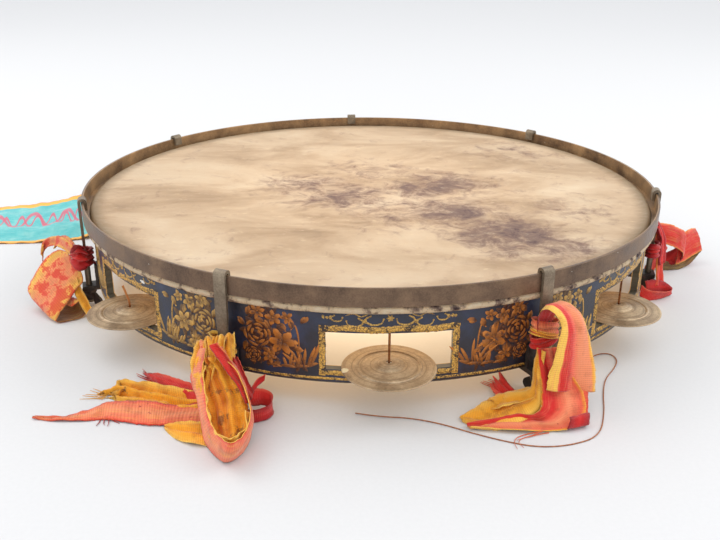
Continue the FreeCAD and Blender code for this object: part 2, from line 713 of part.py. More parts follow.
def strip(stations):
    """A closed ribbon-like solid lofted with straight sides through rectangular stations."""
    centres = [Vector(*centre) for centre, half, thick in stations]
    sections = []
    for index, (centre, half, thick) in enumerate(stations):
        ahead = centres[min(index + 1, len(centres) - 1)] - centres[max(index - 1, 0)]
        across = Vector(*half)
        normal = across.cross(ahead).normalize() * (thick / 2)
        middle = centres[index]
        corners = [middle - across - normal, middle + across - normal, middle + across + normal,
                   middle - across + normal]
        sections.append(Part.makePolygon(corners + corners[:1]))
    return Part.makeLoft(sections, True, True)


def check_and_export():
    failed = [item.Name for item in doc.Objects if "Invalid" in item.State or "Error" in item.State]
    if failed:
        raise RuntimeError(f"failed objects: {failed}")
    for piece in PIECES:
        if piece.Shape.isNull() or not piece.Shape.isValid() or piece.Shape.Volume <= 0:
            raise RuntimeError(f"{piece.Label} has no valid shape")
    os.makedirs("parts", exist_ok=True)
    for piece in PIECES:
        piece.Shape.exportStep(f"parts/{piece.Label}.step")
        print(f"{piece.Label}: {len(piece.Shape.Solids)} solid(s), {piece.Shape.Volume:.0f} mm3")


doc, sheet, ALIASES = new_document()
make_shell()
make_drumhead()
make_flesh_hoop()
make_counter_hoop()
for hook_number in range(1, len(HOOK_ANGLES) + 1):
    make_hook(hook_number)
    make_claw_foot(hook_number)
    make_wing_nut(hook_number)
for slot_number in range(1, len(SLOT_ANGLES) + 1):
    make_jingle(slot_number)
make_pins()
make_bent_pin()
make_silk()
make_thread()
doc.recompute()
check_and_export()
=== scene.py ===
import math
import random

import bpy
import numpy as np
from mathutils import Matrix, Vector, noise


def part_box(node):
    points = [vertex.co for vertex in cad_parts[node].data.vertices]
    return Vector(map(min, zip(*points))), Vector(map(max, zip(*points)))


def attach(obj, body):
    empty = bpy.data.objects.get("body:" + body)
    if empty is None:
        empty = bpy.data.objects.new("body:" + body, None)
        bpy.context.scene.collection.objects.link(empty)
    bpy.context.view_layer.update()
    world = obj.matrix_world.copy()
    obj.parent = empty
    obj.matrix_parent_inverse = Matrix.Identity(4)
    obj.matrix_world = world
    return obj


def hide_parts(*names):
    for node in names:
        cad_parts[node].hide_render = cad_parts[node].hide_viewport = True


# The looks of an antique tambourine: painted shell, stained skin, aged metal, silk ribbons and a sash.
# Lengths are in millimetres until a mesh is made, and MM turns them into metres. Lights are placed in metres.

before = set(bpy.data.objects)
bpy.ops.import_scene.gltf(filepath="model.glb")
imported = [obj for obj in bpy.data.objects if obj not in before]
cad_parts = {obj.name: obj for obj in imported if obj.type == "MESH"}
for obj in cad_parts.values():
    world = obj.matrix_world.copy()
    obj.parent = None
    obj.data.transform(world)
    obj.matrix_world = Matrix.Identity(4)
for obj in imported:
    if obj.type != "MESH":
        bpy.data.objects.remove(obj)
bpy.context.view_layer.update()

MM = 0.001
TABLE = -60.0
SHELL_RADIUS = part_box("shell")[1].x / MM
SHELL_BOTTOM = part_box("shell")[0].z / MM
SHELL_WALL = 4.2
HOOP_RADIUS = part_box("counter_hoop")[1].x / MM
SLOT_HALF = 30.5
SLOT_TOP = -19.5
SLOT_BOTTOM = -39.5
ROD_CIRCLE = 181.1
UP = Vector((0, 0, 1))


# ---------------------------------------------------------------- camera, thread, floor and lights

CAMERA_PLACE = (-6.1, -534.1, 161.7)
CAMERA_PITCH = math.radians(22.49)
CAMERA_ROLL = math.radians(0.30)
CAMERA_LENS = 42.5

# The thread leaves the back of the front right ribbon, dips under the shell's edge and lies on the table.
THREAD_ROUTE = [
    (98.1, -165.2, -44.0), (98.5, -156.5, -50.5), (105.0, -143.0, -56.0), (115.0, -129.0, -59.0),
    (124.0, -119.0, -59.65), (132.0, -117.5, -59.65), (134.5, -125.0, -59.65), (129.8, -135.0, -59.65),
    (122.0, -146.0, -59.65), (117.0, -161.0, -59.65), (113.0, -179.0, -59.65), (105.5, -199.5, -59.65),
    (90.0, -207.0, -59.65), (75.0, -208.5, -59.65), (61.0, -204.0, -59.65), (46.0, -197.0, -59.65),
    (33.0, -189.5, -59.65), (18.0, -184.5, -59.65), (3.0, -183.5, -59.65), (-8.0, -180.5, -59.65),
]
THREAD_DIAMETER = 0.6


def make_camera():
    data = bpy.data.cameras.new("camera")
    data.lens = CAMERA_LENS
    data.sensor_width = 36.0
    data.clip_start = 0.01
    camera = bpy.data.objects.new("camera", data)
    bpy.context.scene.collection.objects.link(camera)
    tilt = Matrix.Rotation(math.pi / 2 - CAMERA_PITCH, 4, "X")
    roll = Matrix.Rotation(CAMERA_ROLL, 4, "Z")
    camera.matrix_world = Matrix.Translation(Vector(CAMERA_PLACE) * MM) @ tilt @ roll
    bpy.context.scene.camera = camera


def make_thread():
    curve = bpy.data.curves.new("loose_silk_thread", "CURVE")
    curve.dimensions = "3D"
    curve.resolution_u = 12
    curve.bevel_depth = THREAD_DIAMETER / 2 * MM
    curve.bevel_resolution = 3
    curve.use_fill_caps = True
    spline = curve.splines.new("NURBS")
    spline.points.add(len(THREAD_ROUTE) - 1)
    for point, place in zip(spline.points, THREAD_ROUTE):
        point.co = (*[coordinate * MM for coordinate in place], 1)
    spline.order_u = 3
    spline.use_endpoint_u = True
    thread = link(curve, "loose_silk_thread")
    curve.materials.append(thread_finish())
    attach(thread, "root")
    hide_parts("loose_thread")


def area_light(name, place, aim, size, power, tint):
    data = bpy.data.lights.new(name, "AREA")
    data.shape = "DISK"
    data.size = size
    data.energy = power
    data.color = tint
    light = bpy.data.objects.new(name, data)
    bpy.context.scene.collection.objects.link(light)
    direction = Vector(aim) - Vector(place)
    turned = direction.to_track_quat("-Z", "Y").to_matrix().to_4x4()
    light.matrix_world = Matrix.Translation(Vector(place)) @ turned


def make_stage():
    graph = Graph("floor_paper", {"Roughness": 0.75, "Specular IOR Level": 0.25})
    grain = graph.noise(graph.place(), 2.0, detail=2)
    graph.finish(graph.ramp(grain, [(0.3, (0.655, 0.658, 0.664)), (0.7, (0.67, 0.673, 0.679))]))
    mesh = bpy.data.meshes.new("floor")
    reach = 6.0
    height = TABLE * MM
    mesh.from_pydata([(-reach, -reach, height), (reach, -reach, height), (reach, reach, height),
                      (-reach, reach, height)], [], [(0, 1, 2, 3)])
    floor = link(mesh, "floor")
    mesh.materials.append(graph.material)
    scene = bpy.context.scene
    scene.view_settings.view_transform = "Standard"
    scene.world = bpy.data.worlds.new("studio")
    scene.world.use_nodes = True
    background = scene.world.node_tree.nodes["Background"]
    background.inputs["Color"].default_value = (0.97, 0.98, 1.0, 1)
    background.inputs["Strength"].default_value = 1.2
    area_light("key", (-0.9, 0.35, 1.1), (0, 0, 0), 1.2, 6.0, (1.0, 0.99, 0.97))
    area_light("fill", (1.1, 0.1, 0.9), (0, 0, 0), 1.0, 5.5, (1.0, 0.99, 0.97))
    # Stands in for the light that passes through the skin and lights the shell's inside.
    area_light("glow_under_skin", (0.0, 0.0, -0.004), (0, 0, -1), 0.22, 0.28, (1.0, 0.80, 0.54))


# ---------------------------------------------------------------- small tools

def link(data, name):
    item = bpy.data.objects.new(name, data)
    bpy.context.scene.collection.objects.link(item)
    return item


def shade(red, green, blue):
    """A colour given as it looks on screen, 0 to 255, turned into the linear values that shaders use."""
    shares = [c / 255 for c in (red, green, blue)]
    return tuple(((c + 0.055) / 1.055) ** 2.4 if c > 0.04 else c / 12.92 for c in shares)


def around(angle, radius, height):
    """The point at an angle in degrees round the drum, as the shell's own arc and height."""
    turn = math.radians(angle)
    return Vector((radius * math.cos(turn), radius * math.sin(turn), height))


def angle_of(node):
    low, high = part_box(node)
    return math.degrees(math.atan2(low.y + high.y, low.x + high.x))


def smooth_line(points, count):
    """count points spread evenly along a Catmull-Rom curve through points."""
    points = np.array(points, float)
    padded = np.vstack([2 * points[0] - points[1], points, 2 * points[-1] - points[-2]])
    spans = len(points) - 1
    places = np.linspace(0, spans, count)
    index = np.minimum(places.astype(int), spans - 1)
    t = (places - index)[:, None]
    p0, p1, p2, p3 = (padded[index + k] for k in range(4))
    return 0.5 * (2 * p1 + (p2 - p0) * t + (2 * p0 - 5 * p1 + 4 * p2 - p3) * t ** 2
                  + (3 * p1 - p0 - 3 * p2 + p3) * t ** 3)


def grid_mesh(name, rows, uv=None, closed=False):
    """A mesh over rows of points in millimetres. closed joins each row's last point to its first."""
    rows = np.array(rows, float)
    count, width = rows.shape[:2]
    mesh = bpy.data.meshes.new(name)
    wide = width if closed else width - 1
    faces = []
    for start in range(0, (count - 1) * width, width):
        for j in range(wide):
            following = (j + 1) % width
            faces.append((start + j, start + following, start + width + following, start + width + j))
    mesh.from_pydata((rows.reshape(-1, 3) * MM).tolist(), [], faces)
    mesh.polygons.foreach_set("use_smooth", [True] * len(faces))
    if uv is not None:
        layer = mesh.uv_layers.new(name="weave")
        flat = np.array(uv, float).reshape(-1, 2)
        corners = np.zeros(len(mesh.loops), np.int32)
        mesh.loops.foreach_get("vertex_index", corners)
        layer.data.foreach_set("uv", flat[corners].ravel())
    return mesh


class Graph:
    """Short calls for building the nodes of one material."""

    def __init__(self, name, finish=None):
        self.material = bpy.data.materials.new(name)
        self.material.use_nodes = True
        self.tree = self.material.node_tree
        self.shader = self.tree.nodes["Principled BSDF"]
        for socket, amount in (finish or {}).items():
            self.shader.inputs[socket].default_value = amount

    def add(self, kind, inputs, **settings):
        node = self.tree.nodes.new("ShaderNode" + kind)
        for key, setting in settings.items():
            setattr(node, key, setting)
        for key, entry in inputs.items():
            if isinstance(entry, bpy.types.NodeSocket):
                self.tree.links.new(entry, node.inputs[key])
            else:
                node.inputs[key].default_value = entry
        return node

    def place(self, centre=(0, 0, 0)):
        """Object coordinates in millimetres, counted from centre."""
        spot = self.add("TexCoord", {}).outputs["Object"]
        scaled = self.add("VectorMath", {0: spot, "Scale": 1 / MM}, operation="SCALE").outputs[0]
        return self.add("VectorMath", {0: scaled, 1: centre}, operation="SUBTRACT").outputs[0]

    def weave(self):
        return self.add("UVMap", {}, uv_map="weave").outputs[0]

    def stretch(self, vector, scale):
        return self.add("VectorMath", {0: vector, 1: scale}, operation="MULTIPLY").outputs[0]

    def split(self, vector):
        return self.add("SeparateXYZ", {0: vector}).outputs

    def radius(self, vector):
        level = self.stretch(vector, (1, 1, 0))
        return self.add("VectorMath", {0: level}, operation="LENGTH").outputs["Value"]

    def distance(self, vector, point):
        return self.add("VectorMath", {0: vector, 1: point}, operation="DISTANCE").outputs["Value"]

    def noise(self, vector, size, detail=4, rough=0.55, warp=0.0):
        inputs = {"Vector": vector, "Scale": 1 / size, "Detail": detail, "Roughness": rough}
        return self.add("TexNoise", {**inputs, "Distortion": warp}).outputs[0]

    def cells(self, vector, size):
        node = self.add("TexVoronoi", {"Vector": vector, "Scale": 1 / size}, feature="DISTANCE_TO_EDGE")
        return node.outputs[0]

    def math(self, operation, one, other=0.0):
        return self.add("Math", {0: one, 1: other}, operation=operation).outputs[0]

    def plus(self, one, other, share):
        """one and a share of other."""
        return self.math("ADD", one, self.math("MULTIPLY", other, share))

    def between(self, amount, low, high, start=0.0, end=1.0):
        """amount from low to high mapped smoothly onto start to end."""
        return self.add("MapRange", {0: amount, 1: low, 2: high, 3: start, 4: end},
                        interpolation_type="SMOOTHSTEP").outputs[0]

    def ramp(self, amount, stops):
        node = self.add("ValToRGB", {0: amount})
        elements = node.color_ramp.elements
        elements[0].position = stops[0][0]
        elements[1].position = stops[-1][0]
        elements[0].color = (*stops[0][1], 1)
        elements[1].color = (*stops[-1][1], 1)
        for position, tint in stops[1:-1]:
            elements.new(position).color = (*tint, 1)
        return node.outputs[0]

    def mix(self, amount, one, other):
        inputs = {0: amount}
        for key, entry in ((6, one), (7, other)):
            inputs[key] = entry if isinstance(entry, bpy.types.NodeSocket) else (*entry, 1)
        return self.add("Mix", inputs, data_type="RGBA").outputs[2]

    def veil(self, under, amount, low, high, over, most=1.0):
        """over laid on under as amount goes from low to high, at its strongest by most."""
        return self.mix(self.between(amount, low, high, 0.0, most), under, over)

    def bump(self, height, depth):
        return self.add("Bump", {"Height": height, "Distance": depth * MM, "Strength": 1.0}).outputs[0]

    def finish(self, tint, rough=None, normal=None, metal=None):
        sources = {"Base Color": tint, "Roughness": rough, "Normal": normal, "Metallic": metal}
        for socket, source in sources.items():
            if source is not None:
                self.tree.links.new(source, self.shader.inputs[socket])
        return self.material


# ---------------------------------------------------------------- metals

# A pale chip on the front jingle's left edge, from its centre.
PALE_CHIP = (-21.8, -4.0, 0.0)


def aged_metal(name, dark, middle, light, rough, metallic, grain=1.3, centre=(0, 0, 0), rings=None,
               speck=None, chip=None, inner=None):
    """Old metal: cloudy tarnish and fine scratches. rings are a spun sheet's turning lines, speck dots it,
    chip is a bare spot, and inner is a radius and the colour of the brighter metal within it."""
    graph = Graph(name, {"Metallic": metallic, "Specular IOR Level": 0.4})
    place = graph.place(centre)
    cloud = graph.noise(place, 16, detail=6, rough=0.62)
    fine = graph.noise(place, grain, detail=5, rough=0.7)
    blend = graph.math("MULTIPLY_ADD", fine, 0.45)
    blend.node.inputs[2].default_value = -0.22
    tone = graph.math("ADD", cloud, blend)
    tint = graph.ramp(tone, [(0.30, dark), (0.50, middle), (0.72, light)])
    height = fine
    if rings:
        lines = graph.noise(graph.add("CombineXYZ", {0: graph.radius(place)}).outputs[0], rings, detail=3)
        tint = graph.veil(tint, lines, 0.46, 0.66, dark, 0.6)
        height = graph.plus(fine, lines, 1.6)
    if inner:
        reach, bright = inner
        tint = graph.veil(tint, graph.radius(place), reach, reach - 0.15,
                          graph.ramp(tone, [(0.30, middle), (0.72, bright)]), 0.8)
    if speck:
        dots = graph.noise(place, 2.4, detail=1)
        tint = graph.veil(tint, dots, 0.80, 0.815, speck)
    if chip:
        gap = graph.plus(graph.distance(place, chip), fine, 2.0)
        tint = graph.veil(tint, gap, 3.6, 3.1, shade(226, 222, 196))
    roughness = graph.between(cloud, 0.3, 0.7, rough - 0.1, rough + 0.12)
    return graph.finish(tint, roughness, graph.bump(height, 0.07))


def paint_metals():
    inner = (HOOP_RADIUS - 0.75, shade(196, 158, 112))
    hoop = aged_metal("aged_hoop_brass", shade(80, 62, 50), shade(108, 86, 68), shade(136, 110, 86), 0.38,
                      0.5, grain=0.8, speck=shade(200, 196, 184), inner=inner)
    strap = aged_metal("worn_bronze", shade(88, 76, 62), shade(124, 110, 92), shade(160, 146, 124), 0.44,
                       0.5, grain=0.9)
    iron = aged_metal("dark_iron", shade(38, 35, 33), shade(58, 52, 48), shade(88, 78, 72), 0.5, 0.4)
    copper = aged_metal("copper_wire", shade(96, 58, 36), shade(150, 96, 56), shade(196, 138, 86), 0.34, 0.7)
    flesh = aged_metal("hidden_wire", shade(96, 80, 56), shade(120, 100, 70), shade(150, 128, 92), 0.5, 0.8)
    for name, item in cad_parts.items():
        if name.startswith("jingle_") and name != "jingle_pins":
            low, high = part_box(name)
            centre = tuple((low + high) / 2 / MM)
            dress(item, aged_metal("spun_brass_" + name[-1], shade(120, 100, 76), shade(174, 151, 122),
                                   shade(214, 192, 158), 0.46, 0.45, centre=centre, rings=1.6,
                                   chip=PALE_CHIP if name == "jingle_1" else None))
            bevel(item, 0.25)
        elif name.startswith("tension_hook_"):
            dress(item, strap)
            bevel(item, 0.35)
        elif name.startswith(("claw_foot_", "wing_nut_")):
            dress(item, iron)
            bevel(item, 0.4)
    dress(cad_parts["counter_hoop"], hoop)
    dress(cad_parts["flesh_hoop"], flesh)
    dress(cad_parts["jingle_pins"], copper)
    dress(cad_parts["bent_jingle_pin"], copper)


def dress(item, material):
    item.data.materials.clear()
    item.data.materials.append(material)


def bevel(item, width):
    """Rounds hard edges so that they catch the light."""
    edges = item.modifiers.new("worn_edges", "BEVEL")
    edges.width = width * MM
    edges.segments = 2
    edges.limit_method = "ANGLE"
    edges.angle_limit = math.radians(40)
    edges.harden_normals = True


# ---------------------------------------------------------------- painted shell

def shell_finish():
    """Navy oil paint outside, bare darkened wood inside whose pale warm colour is partly painted light of the
    skin's glow, and a grey-green cut face in the slots.
    """
    graph = Graph("painted_wood", {"Coat Weight": 0.25, "Coat Roughness": 0.28})
    place = graph.place()
    across = graph.radius(place)
    height = graph.split(place)[2]
    cloud = graph.noise(place, 22, detail=6, rough=0.65)
    fine = graph.noise(place, 1.1, detail=5, rough=0.7)
    paint = graph.ramp(cloud, [(0.32, shade(26, 20, 22)), (0.48, shade(27, 29, 43)),
                               (0.62, shade(36, 45, 70)), (0.80, shade(70, 82, 110))])
    worn = graph.plus(graph.noise(place, 5, detail=6, rough=0.7), fine, 0.3)
    paint = graph.veil(paint, worn, 0.80, 0.90, shade(62, 46, 34))
    paint = graph.veil(paint, worn, 0.36, 0.30, shade(128, 132, 140), 0.6)
    edge = graph.plus(height, fine, 1.4)
    rubbed = graph.between(edge, SHELL_BOTTOM + 1.5, SHELL_BOTTOM + 0.6)
    paint = graph.mix(rubbed, paint, shade(74, 56, 38))
    grain = graph.noise(graph.stretch(place, (0.25, 0.25, 2.2)), 6, detail=6, rough=0.6, warp=1.2)
    # The inner wood's pale warm colour is partly painted light: the glow of light through the skin.
    wood_and_glow = graph.ramp(grain, [(0.3, shade(206, 160, 98)), (0.55, shade(232, 192, 128)),
                              (0.75, shade(246, 214, 158))])
    cut = graph.ramp(grain, [(0.3, shade(58, 56, 48)), (0.7, shade(96, 94, 84))])
    inside = graph.between(across, SHELL_RADIUS - SHELL_WALL + 0.5, SHELL_RADIUS - SHELL_WALL + 0.2)
    outside = graph.between(across, SHELL_RADIUS - 0.35, SHELL_RADIUS - 0.15)
    tint = graph.mix(outside, graph.mix(inside, cut, wood_and_glow), paint)
    roughness = graph.between(cloud, 0.3, 0.75, 0.32, 0.55)
    return graph.finish(tint, roughness, graph.bump(graph.plus(fine, cloud, 1.5), 0.14))


def gilt_finish(name, bright, deep, under, wear):
    """Gold leaf or gold paint, crackled and rubbed through to what is under it."""
    graph = Graph(name, {"Metallic": 0.25, "Specular IOR Level": 0.55})
    place = graph.place()
    crackle = graph.cells(place, 1.5)
    fine = graph.noise(place, 0.9, detail=5, rough=0.75)
    patch = graph.noise(place, 4.5, detail=4, rough=0.6)
    shine = tuple(min(1.0, c * 1.35) for c in bright)
    tint = graph.ramp(fine, [(0.36, deep), (0.52, bright), (0.70, shine)])
    rubbed = graph.plus(graph.math("MULTIPLY", fine, 0.7), patch, 0.6)
    tint = graph.veil(tint, rubbed, wear + 0.05, wear - 0.02, under)
    tint = graph.veil(tint, crackle, 0.09, 0.02, under, 0.75)
    return graph.finish(tint, graph.between(fine, 0.3, 0.7, 0.3, 0.6), graph.bump(fine, 0.12))


def flower_finish(name, tip, root):
    """Flower paint: each stroke runs from a dark root to a bright tip, as its shade attribute says."""
    graph = Graph(name, {"Metallic": 0.1})
    place = graph.place()
    fine = graph.noise(place, 0.8, detail=5, rough=0.75)
    streak = graph.noise(place, 2.6, detail=3)
    depth = graph.add("Attribute", {}, attribute_name="shade").outputs["Fac"]
    amount = graph.plus(depth, graph.math("SUBTRACT", fine, 0.5), 0.9)
    middle = tuple((a + b) * 0.45 for a, b in zip(tip, root))
    tint = graph.ramp(amount, [(0.05, root), (0.45, middle), (0.95, tip)])
    tint = graph.veil(tint, streak, 0.56, 0.66, shade(40, 34, 44), 0.65)
    return graph.finish(tint, graph.between(fine, 0.3, 0.7, 0.34, 0.55), graph.bump(fine, 0.1))


class Relief:
    """Brush strokes on the shell's outer face. A place is (arc length, height) in millimetres from a centre
    angle. The arc runs to the right as seen from outside."""

    LIFT = 0.16
    SUNK = -0.12

    def __init__(self, seed):
        self.lift = self.LIFT
        self.points = []
        self.faces = []
        self.shades = []
        self.random = random.Random(seed)

    def point(self, angle, along, height, lift, tone):
        turn = angle + math.degrees(along / SHELL_RADIUS)
        self.points.append(around(turn, SHELL_RADIUS + lift, height) * MM)
        self.shades.append(tone)

    def stroke(self, angle, line, width, tones=(0.5, 0.5), taper=(1.0, 1.0), rows=None):
        """A rounded stroke along a smooth line. Its edges sink under the paint, so it has no side walls."""
        span = sum(math.dist(a, b) for a, b in zip(line, line[1:]))
        rows = rows or max(5, int(span / 0.9))
        path = smooth_line(line, rows)
        ahead = np.gradient(path, axis=0)
        ahead /= np.linalg.norm(ahead, axis=1)[:, None] + 1e-9
        side = np.stack([-ahead[:, 1], ahead[:, 0]], 1)
        first = len(self.points)
        top = self.lift + 0.05 * self.random.random()
        for index in range(rows):
            share = index / (rows - 1)
            swell = math.sin(math.pi * min(1.0, max(0.0, share))) ** 0.6
            ends = taper[0] if share < 0.5 else taper[1]
            half = width / 2 * (ends * swell + 1 - ends)
            half *= 0.86 + 0.28 * self.random.random()
            tone = tones[0] + (tones[1] - tones[0]) * share
            for across, lift in ((-1, self.SUNK), (-0.72, top), (0.72, top), (1, self.SUNK)):
                along, height = path[index] + side[index] * half * across
                self.point(angle, along, height, lift, tone)
        for index in range(rows - 1):
            for column in range(3):
                corner = first + index * 4 + column
                self.faces.append((corner, corner + 1, corner + 5, corner + 4))

    def petal(self, angle, along, height, length, width, heading, tones=(0.15, 0.95), bend=0.0):
        turn = math.radians(heading)
        line = []
        for share in (0.0, 0.35, 0.7, 1.0):
            reach = length * share
            curved = turn + bend * share
            line.append((along + reach * math.cos(curved), height + reach * math.sin(curved)))
        self.stroke(angle, line, width, tones, taper=(1.0, 1.0), rows=8)

    def flower(self, angle, along, height, radius, petals, tones=(0.1, 1.0)):
        start = self.random.uniform(0, 360)
        for index in range(petals):
            heading = start + 360 * index / petals + self.random.uniform(-8, 8)
            length = radius * self.random.uniform(0.85, 1.1)
            self.petal(angle, along, height, length, radius * 3.4 / petals, heading, tones)
        for index in range(5):
            self.petal(angle, along, height, radius * 0.28, radius * 0.2, start + 72 * index, (0.9, 0.3))

    def rose(self, angle, along, height, radius):
        """Rings of short curved petals round a dark heart."""
        for ring, share in enumerate((0.92, 0.66, 0.38)):
            count = 6 - ring
            reach = radius * share
            start = self.random.uniform(0, 360)
            for index in range(count):
                arc = 360 / count * 0.86
                turns = [math.radians(start + 360 / count * index + arc * s) for s in (0, 0.33, 0.67, 1)]
                line = [(along + reach * math.cos(t), height + reach * math.sin(t)) for t in turns]
                self.stroke(angle, line, radius * 0.24, (0.25 + 0.12 * ring, 0.75), rows=7)

    def leaves(self, angle, along, height, side, tall, count):
        """A tuft of upright blades that spread from one root."""
        for index in range(count):
            lean = 90 - side * (index - (count - 1) / 2) * 60 / count + self.random.uniform(-6, 6)
            size = tall * self.random.uniform(0.6, 1.0)
            self.petal(angle, along + side * index * 1.4, height, size, 1.7, lean, (0.2, 0.9),
                       bend=side * self.random.uniform(-0.3, 0.3))

    def curl(self, angle, along, height, size, side, width=0.8):
        """A C-scroll with a ball at each end."""
        turns = [math.radians(a) for a in (200, 240, 280, 320, 355, 30)]
        radii = [0.75, 1.0, 1.1, 1.0, 0.75, 0.45]
        line = [(along + side * size * r * math.cos(t), height + size * 0.62 * r * math.sin(t))
                for t, r in zip(turns, radii)]
        self.stroke(angle, line, width, (0.7, 1.0), taper=(0.7, 0.3))
        for end in (line[0], line[-1]):
            self.petal(angle, end[0] - 0.5, end[1], 1.1, 1.0, 20, (0.9, 0.9))

    def piece(self, name, material):
        mesh = bpy.data.meshes.new(name)
        mesh.from_pydata([tuple(point) for point in self.points], [], self.faces)
        mesh.polygons.foreach_set("use_smooth", [True] * len(self.faces))
        tones = mesh.attributes.new("shade", "FLOAT", "POINT")
        tones.data.foreach_set("value", self.shades)
        mesh.materials.append(material)
        item = link(mesh, name)
        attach(item, "root")
        return item


def make_slot_frames(slots):
    """A gold-leaf border round each slot, wavy along its top, and a gold line along the shell's foot."""
    relief = Relief(11)
    border = 3.5
    reach = SLOT_HALF + 2.5
    for angle in slots:
        for side in (-1, 1):
            middle = side * (SLOT_HALF + border / 2 + 0.15)
            line = [(middle, SLOT_BOTTOM - border), (middle, -30.0), (middle, SLOT_TOP + border)]
            relief.stroke(angle, line, border, taper=(0, 0), rows=26)
        top = [(s, SLOT_TOP + border / 2 + 0.3 + 0.45 * math.sin(s / 4.2))
               for s in np.linspace(-reach, reach, 23)]
        relief.stroke(angle, top, border, taper=(0, 0), rows=70)
        foot = [(s, SLOT_BOTTOM - border / 2 - 0.1) for s in np.linspace(-reach, reach, 9)]
        relief.stroke(angle, foot, border * 0.85, taper=(0, 0), rows=60)
    turn = 2 * math.pi * SHELL_RADIUS
    line = [(s, SHELL_BOTTOM + 1.9 + 0.15 * math.sin(s / 9)) for s in np.linspace(0, turn, 241)]
    relief.stroke(0, line, 1.5, taper=(0, 0), rows=960)
    leaf = gilt_finish("cracked_gold_leaf", shade(214, 166, 76), shade(150, 104, 44), shade(56, 44, 38),
                       0.60)
    relief.piece("gold_leaf_borders", leaf)


def make_scrolls(slots):
    """A chain of C-scrolls and sprigs over each slot."""
    relief = Relief(12)
    height = -12.2
    for angle in slots:
        for side in (-1, 1):
            relief.curl(angle, side * 7.0, height + 0.8, 5.6, side, 1.1)
            relief.curl(angle, side * 17.0, height - 0.4, 5.2, -side, 1.0)
            relief.curl(angle, side * 25.0, height + 1.0, 3.6, side, 0.9)
            relief.stroke(angle, [(side * 10.5, height + 2.6), (side * 14, height + 1.4),
                                  (side * 17, height + 3.0), (side * 21, height + 1.8)], 0.9, (0.8, 1.0),
                          taper=(0.8, 0.8))
            relief.flower(angle, side * 12.2, height - 1.0, 1.3, 5, (0.6, 1.0))
            relief.leaves(angle, side * 28.5, height - 0.4, side, 2.6, 3)
        relief.flower(angle, 0, height + 0.6, 1.9, 6, (0.5, 1.0))
    gold = gilt_finish("painted_gold", shade(206, 164, 84), shade(150, 110, 52), shade(60, 56, 60), 0.50)
    relief.piece("gold_scrolls", gold)


NICK_ANGLE = -133.0
# A spray's dark under-painting (step along it, height, size) and its loose leaves (step, height, heading).
SPRAY_GROUND = ((28.5, -22.5, 9.5), (16.0, -27.0, 9.0), (22.0, -14.0, 6.5), (31.0, -35.0, 6.5),
                (23.0, -36.0, 6.0), (8.0, -37.0, 6.0), (30.0, -13.0, 5.0))
SPRAY_LEAVES = ((22.5, -21, 80), (22.5, -30, 260), (34.0, -15, 120), (35.0, -29, 300), (10.5, -30, 200),
                (17.5, -37.5, 330), (25.0, -17.5, 30), (11.0, -19.5, 100), (17.0, -17.0, 250),
                (26.5, -32.0, 210), (35.5, -20.5, 60), (6.5, -16.0, 150))


def spray(relief, angle, side, rich):
    """One flower spray between a slot's border and the next hook. side says which way it runs."""
    start = SLOT_HALF + 5.5

    def at(step):
        return side * (start + step)

    relief.lift = 0.06
    for step, height, size in SPRAY_GROUND:
        relief.flower(angle, at(step), height, size, 8, (0.0, 0.16))
    relief.lift = Relief.LIFT
    relief.leaves(angle, at(2.5), -39.5, side, 15.5, 6)
    relief.leaves(angle, at(9.5), -40.5, side, 8.5, 4)
    for step, lean in ((0.0, 35), (5.0, 20), (12.0, 12), (19.0, 8)):
        heading = 90 + side * (90 - lean)
        relief.petal(angle, at(step + 6), -40.0, 8.5, 2.0, heading, (0.15, 0.6), bend=0.2 * side)
    relief.stroke(angle, [(at(6), -36), (at(7.5), -30), (at(8.0), -23), (at(9.5), -17.5), (at(11.5), -20)],
                  0.9, (0.4, 0.9), taper=(0.9, 0.4))
    relief.flower(angle, at(16.0), -27.0, 8.0 if rich else 6.6, 6)
    relief.rose(angle, at(29.0), -24.0, 7.2)
    relief.flower(angle, at(13.5), -13.8, 3.4, 5)
    relief.flower(angle, at(20.5), -14.8, 4.2, 5)
    relief.flower(angle, at(28.5), -12.4, 4.2, 6)
    relief.flower(angle, at(23.0), -35.8, 3.8, 5)
    relief.rose(angle, at(31.5), -36.0, 4.2)
    for step, height, heading in SPRAY_LEAVES:
        turn = heading if side > 0 else 180 - heading
        relief.petal(angle, at(step), height, 5.2, 2.4, turn, (0.05, 0.75), bend=0.3)
        relief.petal(angle, at(step), height, 4.2, 1.8, turn + 45, (0.1, 0.85), bend=-0.3)


def make_sprays(slots):
    """Copper-coloured sprays beside the front slot and two back ones, pale gold ones beside the rest, and a
    white nick in the paint."""
    warm = Relief(13)
    pale = Relief(14)
    for number, angle in enumerate(slots, 1):
        rich = number in (1, 4, 5)
        for side in (-1, 1):
            spray(warm if rich else pale, angle, side, rich)
    nick = Relief(15)
    nick.petal(NICK_ANGLE, -2.2, -13.4, 4.2, 1.7, -12, (0.9, 0.9))
    nick.petal(NICK_ANGLE, 0.2, -12.8, 1.8, 1.6, -70, (0.9, 0.9))
    nick.piece("white_nick", flower_finish("bare_gesso", shade(240, 238, 232), shade(200, 196, 188)))
    copper_paint = flower_finish("copper_flower_paint", shade(204, 124, 42), shade(58, 30, 22))
    pale_paint = flower_finish("pale_flower_paint", shade(218, 172, 88), shade(80, 54, 32))
    warm.piece("copper_flowers", copper_paint)
    pale.piece("pale_flowers", pale_paint)


# ---------------------------------------------------------------- drumhead

# Where the head is most stained: (x, y, reach, strength) in millimetres.
STAINS = ((-16, -22, 46, 0.85), (-46, 2, 44, 0.6), (28, -6, 44, 0.7), (48, 6, 50, 0.8), (50, -55, 52, 0.85),
          (80, -92, 54, 1.0), (100, -112, 44, 0.7), (20, -50, 60, 0.5), (110, 92, 60, 0.35),
          (116, -50, 50, 0.4), (0, 30, 60, 0.4))


# Radii: the lap's dirt and lumps begin at the first, and beyond the second the lumps also push outwards.
LAP_RADIUS = 175.2
LAP_OUTSIDE = 176.0


